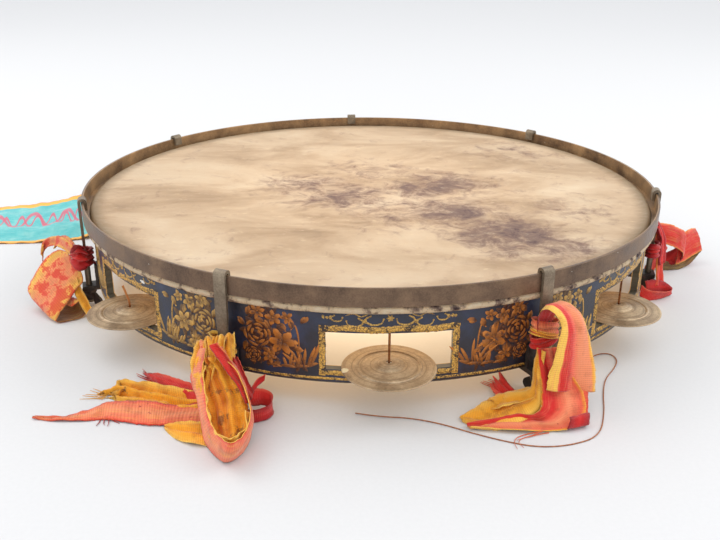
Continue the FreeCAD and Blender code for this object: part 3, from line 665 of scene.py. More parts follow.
def skin_finish():
    """Translucent cream skin, cloudy with age, with purple-brown stains and a dirty lapped edge."""
    graph = Graph("aged_skin", {"Roughness": 0.5, "Specular IOR Level": 0.35})
    place = graph.place()
    across = graph.radius(place)
    brushed = graph.stretch(place, (0.55, 1.0, 1.0))
    cloud = graph.noise(brushed, 46, detail=7, rough=0.6, warp=0.6)
    fine = graph.noise(brushed, 5.5, detail=8, rough=0.72)
    specks = graph.noise(place, 1.3, detail=5, rough=0.7)
    skin = graph.ramp(cloud, [(0.26, shade(188, 162, 131)), (0.40, shade(215, 192, 160)),
                              (0.54, shade(232, 214, 186)), (0.74, shade(243, 231, 208))])
    reach = None
    level = graph.stretch(place, (1, 1, 0))
    for x, y, size, strength in STAINS:
        blot = graph.between(graph.distance(level, (x, y, 0)), size, 0.0, 0.0, strength)
        reach = blot if reach is None else graph.math("MAXIMUM", reach, blot)
    blotch = graph.noise(place, 15, detail=8, rough=0.74, warp=0.8)
    streaks = graph.plus(graph.math("MULTIPLY", blotch, 0.9), reach, 0.34)
    streaks = graph.plus(streaks, fine, 0.28)
    skin = graph.veil(skin, streaks, 0.62, 0.88, shade(180, 150, 128), 0.85)
    skin = graph.veil(skin, streaks, 0.76, 0.96, shade(140, 114, 108), 0.75)
    skin = graph.veil(skin, streaks, 0.92, 1.04, shade(98, 74, 78), 0.6)
    skin = graph.veil(skin, fine, 0.44, 0.28, shade(250, 236, 204), 0.6)
    rim = graph.between(graph.plus(across, fine, 8.0), 168.0, 178.0, 0.0, 0.75)
    skin = graph.mix(rim, skin, shade(176, 150, 116))
    lap = graph.noise(place, 7, detail=5, rough=0.6)
    lapped = graph.ramp(lap, [(0.36, shade(66, 50, 54)), (0.44, shade(160, 134, 116)),
                              (0.52, shade(244, 218, 180)), (0.72, shade(255, 240, 212))])
    skin = graph.veil(skin, across, LAP_RADIUS, LAP_RADIUS + 0.6, lapped)
    normal = graph.bump(graph.plus(fine, specks, 0.35), 0.22)
    graph.finish(skin, graph.between(fine, 0.3, 0.7, 0.42, 0.6), normal)
    glow = graph.add("BsdfTranslucent", {"Color": skin, "Normal": normal})
    both = graph.add("MixShader", {0: 0.5, 1: graph.shader.outputs[0], 2: glow.outputs[0]})
    graph.tree.links.new(both.outputs[0], graph.tree.nodes["Material Output"].inputs["Surface"])
    return graph.material


def make_skin():
    """The head as one turned skin: a flat face, a soft ridge over the shell, a drop, and the lumpy lap."""
    bead_circle = 177.3
    bead_height = -5.95
    bead = 2.1
    profile = [(r, 0.0) for r in np.linspace(0, 168, 36)]
    profile += [(170.5, 0.08), (172.0, 0.28), (173.2, 0.25), (174.3, -0.25), (175.1, -1.2), (175.5, -2.6)]
    for turn in np.radians(np.arange(140, -181, -20)):
        profile.append((bead_circle + bead * math.cos(turn), bead_height + bead * math.sin(turn)))
    profile += [(174.95, -4.0), (174.95, -1.4), (173.6, -0.62), (171.0, -0.6), (120, -0.6), (0, -0.6)]
    segments = 480
    rows = []
    for radius, height in profile:
        row = []
        for index in range(segments):
            spot = around(360 * index / segments, max(radius, 0.4), height)
            slack = min(1.0, (LAP_OUTSIDE - min(radius, LAP_OUTSIDE)) / 30)
            wave = noise.noise(spot * 0.028) * 0.35 * slack
            lump = 0.0
            if radius > LAP_RADIUS or height < -3.0:
                lump = noise.noise(spot * 0.16) * 0.28 + noise.noise(spot * 0.5) * 0.12
            outward = Vector((spot.x, spot.y, 0)).normalized()
            spot += UP * (wave + lump * 0.6) + outward * max(lump, -0.2) * (radius > LAP_OUTSIDE)
            row.append(spot)
        rows.append(row)
    mesh = grid_mesh("aged_drumhead", rows, closed=True)
    mesh.materials.append(skin_finish())
    item = link(mesh, "aged_drumhead")
    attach(item, "root")
    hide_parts("drumhead")


# ---------------------------------------------------------------- silk

SALMON = shade(236, 98, 72)
PEACH = shade(240, 144, 100)
RED = shade(214, 34, 30)
CRIMSON = shade(150, 16, 30)
GOLD = shade(244, 166, 38)
PALE_GOLD = shade(250, 200, 88)
OLIVE = shade(112, 96, 62)
BROWN = shade(128, 82, 48)
TURQUOISE = shade(92, 186, 186)
EDGING = shade(240, 178, 74)


def silk_finish(name, bands, stain=CRIMSON, stained=0.0, ribs=0.9, faded=None):
    """Ribbed silk. bands are (place across it, colour) from edge to edge. Ribs cross it every ribs mm."""
    graph = Graph(name, {"Specular IOR Level": 0.3, "Sheen Weight": 0.25, "Sheen Roughness": 0.4})
    weave = graph.weave()
    across, along = graph.split(weave)[:2]
    place = graph.place()
    fine = graph.noise(place, 0.9, detail=4, rough=0.7)
    cloud = graph.noise(place, 7, detail=5, rough=0.6)
    wobble = graph.math("MULTIPLY", graph.math("SUBTRACT", cloud, 0.5), 0.05)
    tint = graph.ramp(graph.math("ADD", across, wobble), bands)
    warp = graph.noise(graph.stretch(weave, (1.0, 0.02, 0.0)), 0.028, detail=3)
    tint = graph.veil(tint, warp, 0.48, 0.66, faded or PALE_GOLD, 0.34)
    tint = graph.veil(tint, cloud, 0.52, 0.34, shade(140, 52, 24), 0.30)
    blot = graph.plus(cloud, fine, 0.25)
    tint = graph.veil(tint, blot, 0.82 - stained, 0.90 - stained, stain, 0.8)
    rib = graph.math("SINE", graph.math("MULTIPLY", along, 2 * math.pi * 10 / ribs))
    thread = graph.math("SINE", graph.math("MULTIPLY", across, 2 * math.pi * 26))
    cloth = graph.plus(rib, thread, 0.5)
    tint = graph.veil(tint, cloth, 0.2, -1.2, shade(140, 52, 24), 0.22)
    height = graph.math("ADD", graph.math("MULTIPLY", cloth, 0.35), fine)
    return graph.finish(tint, graph.between(fine, 0.3, 0.7, 0.5, 0.75), graph.bump(height, 0.16))


def sash_finish():
    """Turquoise silk with an orange-gold edging and a wandering pink scroll in place of any writing."""
    graph = Graph("sash_silk", {"Specular IOR Level": 0.35, "Sheen Weight": 0.2, "Sheen Roughness": 0.35})
    weave = graph.weave()
    across, along = graph.split(weave)[:2]
    place = graph.place()
    fine = graph.noise(place, 0.8, detail=4, rough=0.7)
    cloud = graph.noise(place, 15, detail=5, rough=0.6)
    tint = graph.ramp(cloud, [(0.3, shade(72, 174, 178)), (0.5, TURQUOISE), (0.72, shade(136, 200, 196))])
    slub = graph.noise(graph.stretch(weave, (14.0, 0.4, 0.0)), 0.35, detail=4)
    tint = graph.veil(tint, slub, 0.5, 0.68, shade(150, 206, 202), 0.35)
    for pitch, swing, shift, thick in ((1.9, 0.15, 0.0, 0.055), (0.83, 0.10, 1.1, 0.042)):
        phase = graph.math("ADD", graph.math("MULTIPLY", along, 2 * math.pi / pitch), shift)
        wave = graph.math("SINE", phase)
        middle = graph.math("ADD", graph.math("MULTIPLY", wave, swing), 0.53)
        gap = graph.math("ABSOLUTE", graph.math("SUBTRACT", across, middle))
        ragged = graph.plus(gap, graph.math("SUBTRACT", fine, 0.5), 0.03)
        tint = graph.veil(tint, ragged, thick, thick * 0.55, shade(206, 88, 112), 0.85)
    edge = graph.math("ABSOLUTE", graph.math("SUBTRACT", across, 0.5))
    tint = graph.veil(tint, edge, 0.436, 0.444, EDGING)
    tint = graph.veil(tint, edge, 0.484, 0.492, shade(206, 120, 48), 0.6)
    rib = graph.math("SINE", graph.math("MULTIPLY", along, 2 * math.pi * 10 / 0.7))
    height = graph.math("ADD", graph.math("MULTIPLY", rib, 0.3), fine)
    return graph.finish(tint, graph.between(fine, 0.3, 0.7, 0.45, 0.7), graph.bump(height, 0.12))


def thread_finish():
    graph = Graph("copper_thread", {"Metallic": 0.2})
    twist = graph.noise(graph.place(), 0.8, detail=4)
    tint = graph.ramp(twist, [(0.3, shade(112, 66, 44)), (0.5, shade(160, 98, 62)),
                              (0.7, shade(196, 136, 90))])
    return graph.finish(tint, graph.between(twist, 0.3, 0.7, 0.4, 0.7), graph.bump(twist, 0.1))


# Every silk: its key, its material's name, its colours from edge to edge, and its own settings.
SILKS = (
    ("salmon", "silk_salmon_weave",
     [(0.0, RED), (0.07, SALMON), (0.5, PEACH), (0.93, SALMON), (1.0, RED)], {"stained": 0.06, "ribs": 1.3}),
    ("striped", "silk_striped_weave",
     [(0.0, PALE_GOLD), (0.17, PALE_GOLD), (0.19, SALMON), (0.22, RED), (0.36, RED), (0.46, SALMON),
      (0.62, PEACH), (0.88, PEACH), (0.93, GOLD), (1.0, PALE_GOLD)], {"faded": PEACH}),
    ("streaked", "silk_streaked_weave",
     [(0.0, GOLD), (0.04, RED), (0.30, RED), (0.42, SALMON), (0.60, PEACH), (0.90, SALMON), (1.0, GOLD)],
     {"faded": PEACH}),
    ("gold", "silk_gold_weave",
     [(0.0, PALE_GOLD), (0.3, GOLD), (0.7, GOLD), (1.0, PALE_GOLD)], {"stain": BROWN, "stained": 0.03}),
    # The deeper orange in the middle of this gold silk is painted shade for the inside of a loop; its brown
    # stain is real.
    ("gold_in_shade", "silk_gold_painted_shade_weave",
     [(0.0, GOLD), (0.4, shade(224, 128, 30)), (0.7, GOLD), (1.0, GOLD)], {"stain": BROWN, "stained": 0.10}),
    ("goldred", "silk_goldred_weave",
     [(0.0, PALE_GOLD), (0.30, GOLD), (0.62, GOLD), (0.70, SALMON), (1.0, RED)],
     {"stain": BROWN, "stained": 0.03}),
    ("satin", "silk_satin_weave",
     [(0.0, RED), (0.45, shade(232, 104, 50)), (0.6, RED), (1.0, CRIMSON)], {"faded": SALMON}),
    ("red", "silk_red_weave", [(0.0, CRIMSON), (0.15, RED), (0.8, RED), (1.0, SALMON)], {"faded": SALMON}),
    ("crimson", "silk_crimson_weave", [(0.0, CRIMSON), (0.5, RED), (1.0, CRIMSON)], {"faded": RED}),
    ("peach", "silk_peach_weave",
     [(0.0, SALMON), (0.06, PALE_GOLD), (0.3, PEACH), (0.7, PEACH), (0.94, PALE_GOLD), (1.0, SALMON)],
     {"stain": RED, "stained": 0.24}),
    ("rose", "silk_rose_weave",
     [(0.0, GOLD), (0.05, SALMON), (0.12, RED), (0.85, RED), (0.94, SALMON), (1.0, GOLD)],
     {"faded": shade(222, 170, 96), "stained": 0.03}),
    # The olive silk is painted shade: the shadowed undersides where a ribbon turns under.
    ("olive", "silk_olive_painted_shade", [(0.0, OLIVE), (1.0, BROWN)], {"stain": BROWN}),
    # The brown silk is painted shade: the shaded side where a ribbon turns under itself.
    ("brown", "silk_brown_painted_shade", [(0.0, BROWN), (0.5, shade(168, 112, 62)), (1.0, BROWN)], {"stain": OLIVE}),
)
SILK = {}


def weave_silks():
    """Fills SILK with every ribbon's finish and the sash's."""
    for key, name, bands, settings in SILKS:
        SILK[key] = silk_finish(name, bands, **settings)
    SILK["sash"] = sash_finish()


def ribbon(name, stations, front, back=None,
           folds=0.0, depth=(0.0, 0.0), cup=0.0, ripple=0.5, fray=0.0, thick=0.35, replaces=()):
    """A strip of cloth. A station is a point on one edge and the point across from it, six numbers in all,
    and stations run from the tied end to the free one. folds run along it with a depth given at both ends,
    cup bows it towards its back, ripple crumples it, and fray eats into the free end. front and back are
    keys of SILK. A strip with the name of a CAD ribbon replaces it."""
    edges = np.array(stations, float).reshape(-1, 2, 3)
    left = edges[:, 0]
    right = edges[:, 1]
    span = np.linalg.norm(np.diff((left + right) / 2, axis=0), axis=1).sum()
    wide = np.linalg.norm(left - right, axis=1).mean()
    rows = max(14, int(span / 1.1))
    columns = max(10, int(wide / 1.0), int(folds * 8))
    lefts = smooth_line(left, rows)
    rights = smooth_line(right, rows)
    centre = (lefts + rights) / 2
    ahead = np.gradient(centre, axis=0)
    across = rights - lefts
    normal = np.cross(ahead, across)
    normal /= np.linalg.norm(normal, axis=1)[:, None] + 1e-9
    seed = sum(map(ord, name)) % 97
    points = np.zeros((rows, columns, 3))
    uv = np.zeros((rows, columns, 2))
    for i in range(rows):
        t = i / (rows - 1)
        deep = depth[0] + (depth[1] - depth[0]) * t
        for j in range(columns):
            s = j / (columns - 1)
            drift = noise.noise(Vector((s * 2.2, t * span / 14, seed)))
            crumple = noise.noise(Vector((s * 5.0, t * span / 5, seed + 7)))
            crease = 0.3 - abs(noise.noise(Vector((s * 4.0 + 3, t * span / 6, seed + 21))))
            lift = cup * 4 * s * (1 - s) + ripple * (drift + 0.5 * crumple + 0.6 * crease)
            lift += deep * math.sin(2 * math.pi * folds * (s + 0.12 * drift))
            ravel = 0.0
            if j in (0, columns - 1):
                ravel = (0.5 * noise.noise(Vector((t * span / 0.9, s * 9, seed))) - 0.1) * (1 if j else -1)
            point = lefts[i] + across[i] * (s + ravel / wide) + normal[i] * lift
            if fray:
                near_end = max(0.0, (t - 0.75) / 0.25)
                eaten = fray * (0.5 + noise.noise(Vector((s * 9.0, 0.3, seed)))) * near_end
                point = point - ahead[i] / (np.linalg.norm(ahead[i]) + 1e-9) * eaten
            point[2] = max(point[2], TABLE + thick / 2 + 0.05)
            points[i, j] = point
            uv[i, j] = (s, t * span / 10)
    mesh = grid_mesh(name, points, uv)
    item = link(mesh, name)
    mesh.materials.append(SILK[front])
    mesh.materials.append(SILK[back or front])
    skin = item.modifiers.new("cloth", "SOLIDIFY")
    skin.thickness = thick * MM
    skin.offset = 0
    skin.material_offset = 1
    skin.use_even_offset = False
    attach(item, "root")
    if f"ribbon_{name}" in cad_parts:
        replaces = [f"ribbon_{name}"]
    if replaces:
        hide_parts(*replaces)
    return item


def wrap(name, angle, height, wide, reach, tilt, front, replaces=(), folds=2.0, depth=0.5):
    """A band of cloth wound once round a hook, crossing its own start at the back."""
    outward = around(angle, 1, 0)
    sideways = UP.cross(outward)
    centre = around(angle, ROD_CIRCLE + 0.4, height)
    stations = []
    steps = 13
    start = 175
    sweep = 370
    for step in range(steps + 1):
        turn = math.radians(start + sweep * step / steps)
        place = centre + outward * reach[0] * math.cos(turn) + sideways * reach[1] * math.sin(turn)
        place += UP * tilt * math.sin(turn) + UP * 1.2 * (step / steps - 0.5)
        place += outward * 0.7 * step / steps
        stations.append((*(place - UP * wide / 2), *(place + UP * wide / 2)))
    return ribbon(name, stations, front, replaces=replaces, folds=folds, depth=(depth, depth),
                  ripple=0.5, cup=-0.5)


def make_front_left(hook):
    """A salmon loop lined with gold that hangs to the table, a gathered knot, four tails and a red curl."""
    wrap("front_left_wrap_low", hook, -34.0, 7.0, (3.6, 6.4), 1.0, "red",
         replaces=["ribbon_front_left_knot"])
    wrap("front_left_wrap_high", hook, -29.0, 7.0, (3.9, 7.0), -1.4, "gold")
    ribbon("front_left_tuft_middle", [
        (-79, -170, -24, -69, -173, -23), (-79, -176, -26, -69, -178, -25), (-79, -180, -31, -69, -182, -30),
        (-78, -184, -38, -68, -185, -36),
    ], "gold", folds=4, depth=(1.2, 1.6), ripple=1.8)
    ribbon("front_left_tuft_gold", [
        (-82, -172, -25, -75, -174, -23), (-84, -177, -28, -73, -182, -26), (-85, -181, -33, -73, -187, -30),
        (-84, -183, -39, -74, -189, -36), (-82, -185, -46, -75, -191, -43),
    ], "gold", folds=3, depth=(1.4, 1.8), ripple=1.8)
    ribbon("front_left_tuft_peach", [
        (-84, -171, -26, -79, -176, -23), (-85, -176, -30, -77, -183, -27), (-84, -179, -36, -77, -187, -32),
        (-82, -181, -42, -76, -188, -38),
    ], "gold", "peach", folds=2, depth=(1.0, 1.4), ripple=1.2)
    ribbon("front_left_tuft_red", [
        (-73, -173, -22, -66, -170, -22), (-73, -181, -26, -65, -176, -26), (-71, -184, -32, -65, -179, -33),
        (-69, -184, -39, -65, -181, -41),
    ], "gold", folds=2, depth=(1.2, 1.4), ripple=1.4)
    loop = [
        (-81, -177, -27, -77, -184, -23), (-84, -179, -32, -78, -188, -27), (-86, -181, -40, -78, -192, -32),
        (-83, -187, -47, -76, -199, -39), (-79, -198, -54, -73, -209, -43), (-76, -208, -59, -69, -219, -45),
        (-70, -217, -59.3, -64, -226, -45), (-64, -222, -59.3, -60, -229, -44),
        (-59, -216, -59.3, -57, -224, -45), (-56, -208, -58, -55, -216, -45),
        (-56, -197, -54, -55, -207, -42), (-59, -186, -49, -58, -199, -37), (-63, -180, -40, -63, -192, -30),
        (-67, -177, -33, -68, -187, -27), (-71, -174, -28, -72, -183, -23),
    ]
    ribbon("front_left_loop", loop, "gold", "salmon", cup=0.8, ripple=0.8)
    inside = np.array((-69, -200, -44))
    outer = np.array(loop[1:-4], float).reshape(-1, 2, 3)
    lining = outer + (inside - outer) * 0.12
    ribbon("front_left_lining", lining, "gold", ripple=2.2, cup=0.8)
    # Its deeper gold silk is partly painted shade, deep inside the loop.
    ribbon("front_left_inner_fold", [
        (-80, -182, -28, -72, -183, -26), (-81, -184, -34, -67, -184, -32), (-80, -188, -41, -62, -188, -39),
        (-77, -196, -48, -58, -194, -46), (-74, -205, -54, -56, -203, -50), (-70, -214, -57, -57, -212, -54),
    ], "gold_in_shade", folds=3.5, depth=(1.8, 1.3), cup=3.0, ripple=3.0)
    ribbon("front_left_strand", [
        (-76, -183, -22, -72, -184, -20), (-71, -188, -27, -67, -187, -25), (-67, -191, -32, -63, -190, -31),
        (-62, -195, -37, -59, -193, -37), (-58, -200, -43, -56, -198, -43),
    ], "salmon", "red", folds=1, depth=(1.2, 0.6), ripple=0.8)
    ribbon("front_left_back_strand", [
        (-67, -178, -31, -64, -177, -31), (-65, -181, -37, -61, -180, -37), (-62, -184, -44, -58, -182, -43),
        (-58, -185, -50, -56, -182, -47),
    ], "red", "crimson", folds=1, depth=(0.8, 0.8), ripple=0.7)
    ribbon("front_left_long_tail", [
        (-78, -192, -58, -78, -176, -56), (-96, -193, -59.3, -97, -178, -57),
        (-109, -192, -59.3, -112, -175, -56.5), (-127, -188, -59.3, -129, -174, -58),
        (-137, -189, -59.3, -139, -182, -58.5), (-152, -189, -59.4, -150, -186, -59),
        (-162, -187, -59.4, -161, -185.5, -59),
    ], "salmon", "red", cup=-0.5, ripple=1.3)
    ribbon("front_left_gold_tail", [
        (-80, -183, -59, -81, -172, -54), (-100, -180, -59.3, -101, -166, -54),
        (-113, -177, -59.3, -116, -161, -54), (-126, -172, -59.3, -127, -158, -55.5),
        (-140, -169, -59.3, -137, -162, -57.5),
    ], "gold", folds=3.0, depth=(1.4, 2.2), ripple=2.2, fray=16)
    ribbon("front_left_red_tail", [
        (-82, -180, -57, -84, -168, -52), (-92, -173, -59, -94, -163, -52),
        (-104, -164, -59.2, -104, -156, -53), (-112, -155, -59.3, -111, -150, -55),
        (-119, -146, -59.3, -118, -144, -58),
    ], "red", "crimson", cup=-1.2, folds=1.5, depth=(0.8, 1.0), ripple=1.4, fray=9)
    fringe("front_left_red_fibre", (-117, -147, -59.4), (-6, 5, 0), 5.0, 4, "red")
    fringe("front_left_gold_fibre", (-136, -166, -59.2), (-7, 2, 0), 8.0, 5, "gold")
    fringe("front_left_edge_fibre", (-126, -189.5, -59.5), (1, -4, 0), 9.0, 4, "red")
    ribbon("front_left_scrap", [
        (-74, -210, -59.3, -76, -193, -57), (-83, -208, -59.4, -84, -193, -56.5),
        (-91, -203, -59.4, -92, -193, -57), (-97, -196, -59.4, -97, -193, -58.5),
    ], "gold", cup=-0.8, folds=2.5, depth=(1.0, 0.6), ripple=1.4)
    ribbon("front_left_curl", [
        (-63, -184, -49, -59, -182, -43), (-58, -182, -55, -57, -180, -46), (-53, -178, -57, -52, -176, -49),
        (-48, -180, -58.5, -48, -178, -51), (-49, -186, -59.4, -49, -186, -52),
        (-55, -190, -59.4, -55, -190, -52), (-61, -190, -59.2, -61, -190, -51),
        (-65, -186, -58, -65, -186, -50),
    ], "crimson", "red", cup=0.6, ripple=0.7)
    ribbon("front_left_curl_ear", [
        (-59, -183, -50, -57, -181, -45), (-56, -179, -47, -54, -178, -42), (-52, -177, -44, -51, -176, -41),
    ], "red", "crimson", folds=1, depth=(0.8, 0.4), ripple=0.5)


def make_front_right(hook):
    """A broad striped fall folded over the knot, a wrapped drop, a wide tail on the table and small ends."""
    wrap("front_right_wrap_low", hook, -28.0, 6.0, (4.4, 7.4), 1.2, "red")
    wrap("front_right_wrap_high", hook, -21.5, 7.0, (4.6, 7.6), -1.8, "salmon")
    wrap("front_right_wrap_gold", hook, -25.0, 3.0, (4.9, 7.9), -2.6, "gold")
    ribbon("front_right_fall", [
        (80, -166, -24, 88, -159, -22), (79, -169, -14, 90, -161, -13), (80, -173, -7.5, 91, -163, -8),
        (83, -179, -6, 96, -168, -9), (86, -183, -12, 101, -171, -17), (85, -184, -23, 105, -171, -29),
        (83, -184, -34, 108, -171, -41), (82, -184, -44, 109, -171, -52),
    ], "red", "striped", folds=1.3, depth=(0.3, 1.0), cup=1.6, ripple=0.7)
    ribbon("front_right_drop", [
        (78, -175, -27, 88, -173, -27), (79, -178, -34, 92, -176, -34), (80, -181, -41, 97, -178, -42),
        (80, -184, -47, 102, -178, -50), (79, -188, -52, 102, -185, -56), (75, -190, -54, 94, -194, -58.5),
        (69, -188, -55, 83, -196, -59.3), (60, -188, -56, 69, -197, -58.8),
        (52, -190, -57.5, 56, -196, -58.6), (44, -192, -58, 46, -195, -58.4),
    ], "gold", "streaked", folds=2.2, depth=(0.9, 0.7), ripple=1.0,
       replaces=["ribbon_front_right_wrap"])
    ribbon("front_right_long_tail", [
        (79, -172, -28, 82, -178, -27), (78, -173, -37, 81, -179, -36), (77, -175, -45, 81, -182, -46),
        (74, -173, -51, 79, -187, -53), (66, -170, -54, 70, -192, -57), (58, -173, -56, 59, -195, -59.3),
        (50, -178, -58, 50, -193, -59.4), (42, -185, -59.2, 43, -188, -59.4),
    ], "gold", cup=0.6, folds=1.6, depth=(0.6, 0.8), ripple=1.3)
    ribbon("front_right_gold_flap", [
        (79, -168, -52, 80, -180, -50), (72, -167, -54, 73, -181, -52), (64, -170, -55, 64, -183, -53),
        (56, -174, -56, 56, -185, -55),
    ], "gold", cup=-1.0, folds=1, depth=(0.8, 0.8),
       ripple=1.4, fray=4)
    ribbon("front_right_rolled_end", [
        (92, -178, -45, 106, -171, -46), (91, -183, -51, 105, -176, -52), (91, -188, -56, 104, -182, -57),
        (90, -193, -59.3, 102, -188, -59.3), (91, -196, -58, 102, -192, -58),
        (92, -195, -54.5, 102.5, -191, -54.5), (92.5, -192, -54, 103, -188, -54),
    ], "crimson", "goldred", ripple=0.5)
    ribbon("front_right_frayed_end", [
        (77, -167, -56, 73, -175, -58.5), (72, -163, -56, 68, -171, -58.5), (68, -157, -54, 62, -164, -58.5),
        (66, -150, -53, 60, -156, -58),
    ], "crimson", "red", fray=6, ripple=1.0, cup=0.8, folds=2.5,
       depth=(0.3, 1.0))
    fringe("front_right_fan_fibre", (63, -153, -59.3), (-5, 4, 0), 7.0, 5, "red")
    fibres = (
        [(79, -197, -58.8), (73, -198, -59.3), (67, -201, -59.5), (65, -205, -59.6), (65.5, -210, -59.6)],
        [(80, -196, -58.8), (75, -199, -59.3), (69, -202, -59.4), (67, -205, -59.6), (68.5, -209, -59.6)],
        [(82, -198, -58.8), (77, -199, -59.2), (71, -201, -59.4), (66.5, -203, -59.5)],
    )
    for number, line in enumerate(fibres):
        loose_end(f"front_right_fibre_{number}", line, "salmon")


def loose_end(name, line, material):
    """A single frayed fibre: a thin tapered tube."""
    path = smooth_line(line, 24)
    rows = []
    for index, point in enumerate(path):
        radius = 0.32 * (1 - 0.7 * index / len(path))
        rows.append([point + np.array((math.cos(turn) * radius, math.sin(turn) * radius * 0.6,
                                       math.sin(turn) * radius))
                     for turn in np.linspace(0, 2 * math.pi, 7)[:-1]])
    uv = [[(column / 6, index / 6) for column in range(6)] for index in range(len(path))]
    mesh = grid_mesh(name, rows, uv, closed=True)
    mesh.materials.append(SILK[material])
    item = link(mesh, name)
    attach(item, "root")


def fringe(name, spot, reach, spread, count, material):
    """Frayed fibres that fan out over the table from spot along reach."""
    rolls = random.Random(name)
    start = np.array(spot, float)
    ahead = np.array(reach, float)
    beside = np.array((-ahead[1], ahead[0], 0.0)) / np.linalg.norm(ahead)
    for number in range(count):
        share = (number + 0.5) / count - 0.5
        sway = rolls.uniform(-0.35, 0.35)
        size = rolls.uniform(0.5, 1.1)
        line = [start - ahead * 0.5 + beside * spread * share * 0.8,
                start + beside * spread * share,
                start + ahead * 0.5 * size + beside * (spread * share * 1.3 + sway * 2),
                start + ahead * size + beside * (spread * share * 1.5 + sway * 5)]
        loose_end(f"{name}_{number}", line, material)


def make_left(hook):
    """A stained peach bow that turns under itself, a red satin knot, two back strips and an orange tail."""
    wrap("left_wrap", hook, -28.5, 10.5, (5.0, 8.4), 1.0, "crimson",
            replaces=["ribbon_left_knot"], folds=3, depth=0.9)
    ribbon("left_knot_satin", [
        (-180, -61, -24, -180, -62, -30), (-176, -65, -20, -177, -65, -32), (-173, -67, -16, -174, -67, -34),
        (-170, -66, -17, -171, -66, -34), (-168, -64, -21, -169, -64, -32),
    ], "crimson", "satin", folds=3.5, depth=(0.6, 2.4), ripple=0.9, cup=1.0)
    # The bow's brown face is painted shade where it turns under itself.
    ribbon("left_bow", [
        (-182, -57, -25, -176, -61, -31), (-190, -51, -26, -172, -65, -40), (-198, -51, -31, -176, -70, -45),
        (-204, -55, -39, -180, -77, -51), (-208, -60, -47, -184, -83, -56),
        (-207, -60, -52, -184, -84, -59.2), (-200, -58, -56, -179, -82, -59.3),
        (-192, -60, -57, -172, -77, -59.3), (-186, -62, -55, -170, -72, -57),
        (-185, -66, -52, -173, -72, -51), (-186, -70, -54, -177, -76, -53),
    ], "brown", "peach", cup=1.0, ripple=1.0)
    ribbon("left_top_strip", [
        (-180, -60, -26, -178, -58, -21), (-187, -54, -24, -184, -51, -19), (-195, -47, -25, -192, -45, -19),
        (-202, -42, -30, -201, -42, -23), (-203, -44, -38, -203, -46, -31),
    ], "peach", "crimson", folds=1, depth=(0.8, 0.6), ripple=0.8)
    ribbon("left_back_strip", [
        (-180, -58, -22, -177, -57, -20), (-187, -50, -21, -183, -50, -18), (-193, -42, -23, -189, -43, -20),
        (-198, -38, -30, -194, -39, -28),
    ], "peach", "gold", folds=1, depth=(0.6, 0.6), ripple=0.6)
    # The tail's brown face is painted shade on its underside.
    ribbon("left_tail", [
        (-176, -65, -38, -178, -67, -44), (-173, -68, -44, -176, -70, -49), (-169, -72, -49, -172, -74, -54),
        (-166, -75, -54, -168, -77, -58.5), (-164, -78, -58, -165, -79, -59.3),
    ], "gold", "brown", folds=1, depth=(1.0, 0.8), ripple=0.8)


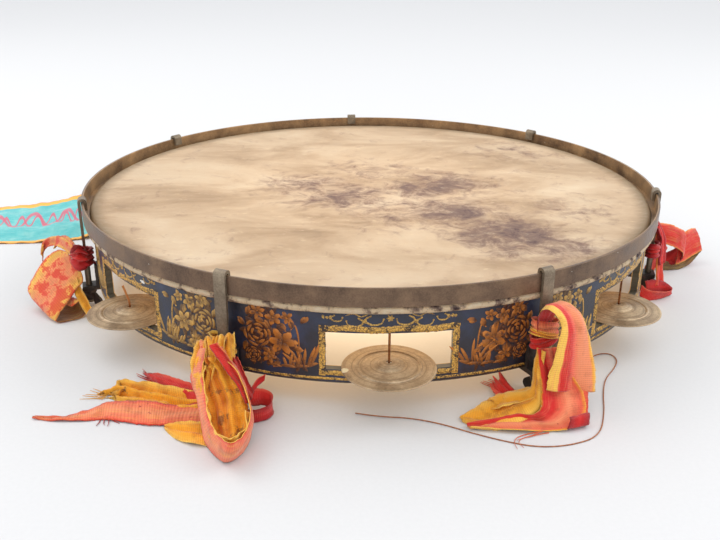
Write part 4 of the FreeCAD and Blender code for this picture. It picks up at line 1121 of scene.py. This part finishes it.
def make_right(hook):
    """A rose ribbon that runs out from behind the hoop and turns under, with a flap, strands and a loop."""
    # The wrap's dark crimson is partly painted shade, for the knot sitting in shadow behind the hoop.
    wrap("right_wrap", hook, -31.0, 9.0, (4.0, 6.6), -1.0, "crimson",
            replaces=["ribbon_right_knot"], folds=3, depth=0.8)
    ribbon("right_knot_band", [
        (180, -28, -32, 180, -26, -22), (184, -20, -35, 184, -14, -22), (187, -12, -37, 189, -4, -24),
    ], "crimson", folds=2, depth=(1.4, 0.5), ripple=0.8)
    ribbon("right_upper_loop", [
        (183, -14, -36, 186, -5, -24), (190, -7, -37, 194, 2, -25), (198, -5, -38, 203, 4, -27),
        (205, -4, -41, 209, 5, -30), (211, -1, -46, 213, 7, -33), (213, 5, -53, 215, 12, -40),
        (208, 8, -58, 211, 16, -49), (200, 6, -59, 202, 14, -52), (192, 0, -55, 194, 6, -48),
    ], "crimson", "rose", cup=0.8, ripple=0.9)
    # The olive faces of the flap and of the part under it are painted shade on their undersides.
    ribbon("right_flap", [
        (209, 4, -56, 212, 12, -38), (215, 7, -55, 218, 17, -36), (224, 12, -52, 223, 22, -36),
        (231, 16, -50, 228, 26, -37),
    ], "olive", "rose", cup=0.8, ripple=0.9)
    ribbon("right_under", [
        (231, 17, -51, 229, 26, -46), (222, 11, -58, 221, 20, -54), (210, 4, -59.3, 210, 18, -57),
        (197, 3, -59.3, 198, 14, -56),
    ], "olive", "crimson", cup=-1.0, ripple=0.9)
    ribbon("right_strand", [
        (197, -9, -44, 197, -6, -38), (192, -15, -46, 189, -12, -40), (186, -21, -50, 182, -19, -44),
        (182, -27, -53, 177, -26, -48),
    ], "rose", "salmon", folds=1, depth=(0.8, 0.6), ripple=0.8)
    ribbon("right_knot_cover", [
        (182, -27, -20, 187, -12, -19), (184, -28, -27, 191, -14, -27), (184, -30, -34, 192, -17, -35),
        (183, -34, -41, 190, -24, -43),
    ], "red", "crimson", folds=2.5, depth=(0.8, 1.4), ripple=1.0)
    ribbon("right_broad_strand", [
        (183, -22, -24, 187, -14, -24), (183, -28, -32, 190, -17, -34), (182, -33, -40, 190, -22, -42),
        (181, -38, -47, 188, -31, -48), (180, -42, -52, 188, -38, -53),
    ], "crimson", "rose", folds=1.5, depth=(1.0, 0.8), ripple=0.9)
    ribbon("right_lower_loop", [
        (174, -45, -56, 173, -43, -48), (180, -42, -57, 179, -41, -48), (187, -39, -58, 186, -38, -50),
        (193, -38, -59, 193, -38, -55), (187, -43, -59.4, 189, -43, -55), (180, -47, -59.4, 181, -48, -53),
        (173, -49, -59, 173, -50, -51), (169, -48, -56, 169, -49, -48),
    ], "red", "crimson", cup=0.6, ripple=0.5)


def make_sash(hook):
    """The sash is gathered at a back hook, falls to the table and runs out to the left."""
    wrap("sash_wrap", hook, -33.0, 11.0, (4.4, 6.8), 1.5, "sash", replaces=["sash_knot"],
            folds=2.5, depth=0.7)
    ribbon("silk_sash", [
        (-162, 102, -42, -158, 116, -33), (-172, 94, -49, -172, 122, -36), (-186, 78, -54, -190, 127, -40),
        (-206, 60, -57, -222, 128, -45), (-238, 50, -58.8, -255, 130, -54),
        (-272, 47, -59.2, -298, 127, -58.3), (-306, 48, -59.2, -330, 127, -59),
        (-338, 52, -59.2, -354, 130, -59),
    ], "sash", folds=2.6, depth=(3.0, 0.0),
       ripple=1.5, thick=0.45, replaces=["sash"])


# ---------------------------------------------------------------- the work itself

def main():
    slots = [angle_of(f"jingle_{number}") for number in range(1, 8)]
    hooks = [angle_of(f"claw_foot_{number}") for number in range(1, 8)]
    make_camera()
    make_thread()
    make_stage()
    paint_metals()
    dress(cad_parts["shell"], shell_finish())
    make_slot_frames(slots)
    make_scrolls(slots)
    make_sprays(slots)
    make_skin()
    weave_silks()
    make_front_left(hooks[0])
    make_front_right(hooks[1])
    make_right(hooks[2])
    make_sash(hooks[5])
    make_left(hooks[6])


main()
bpy.context.view_layer.update()
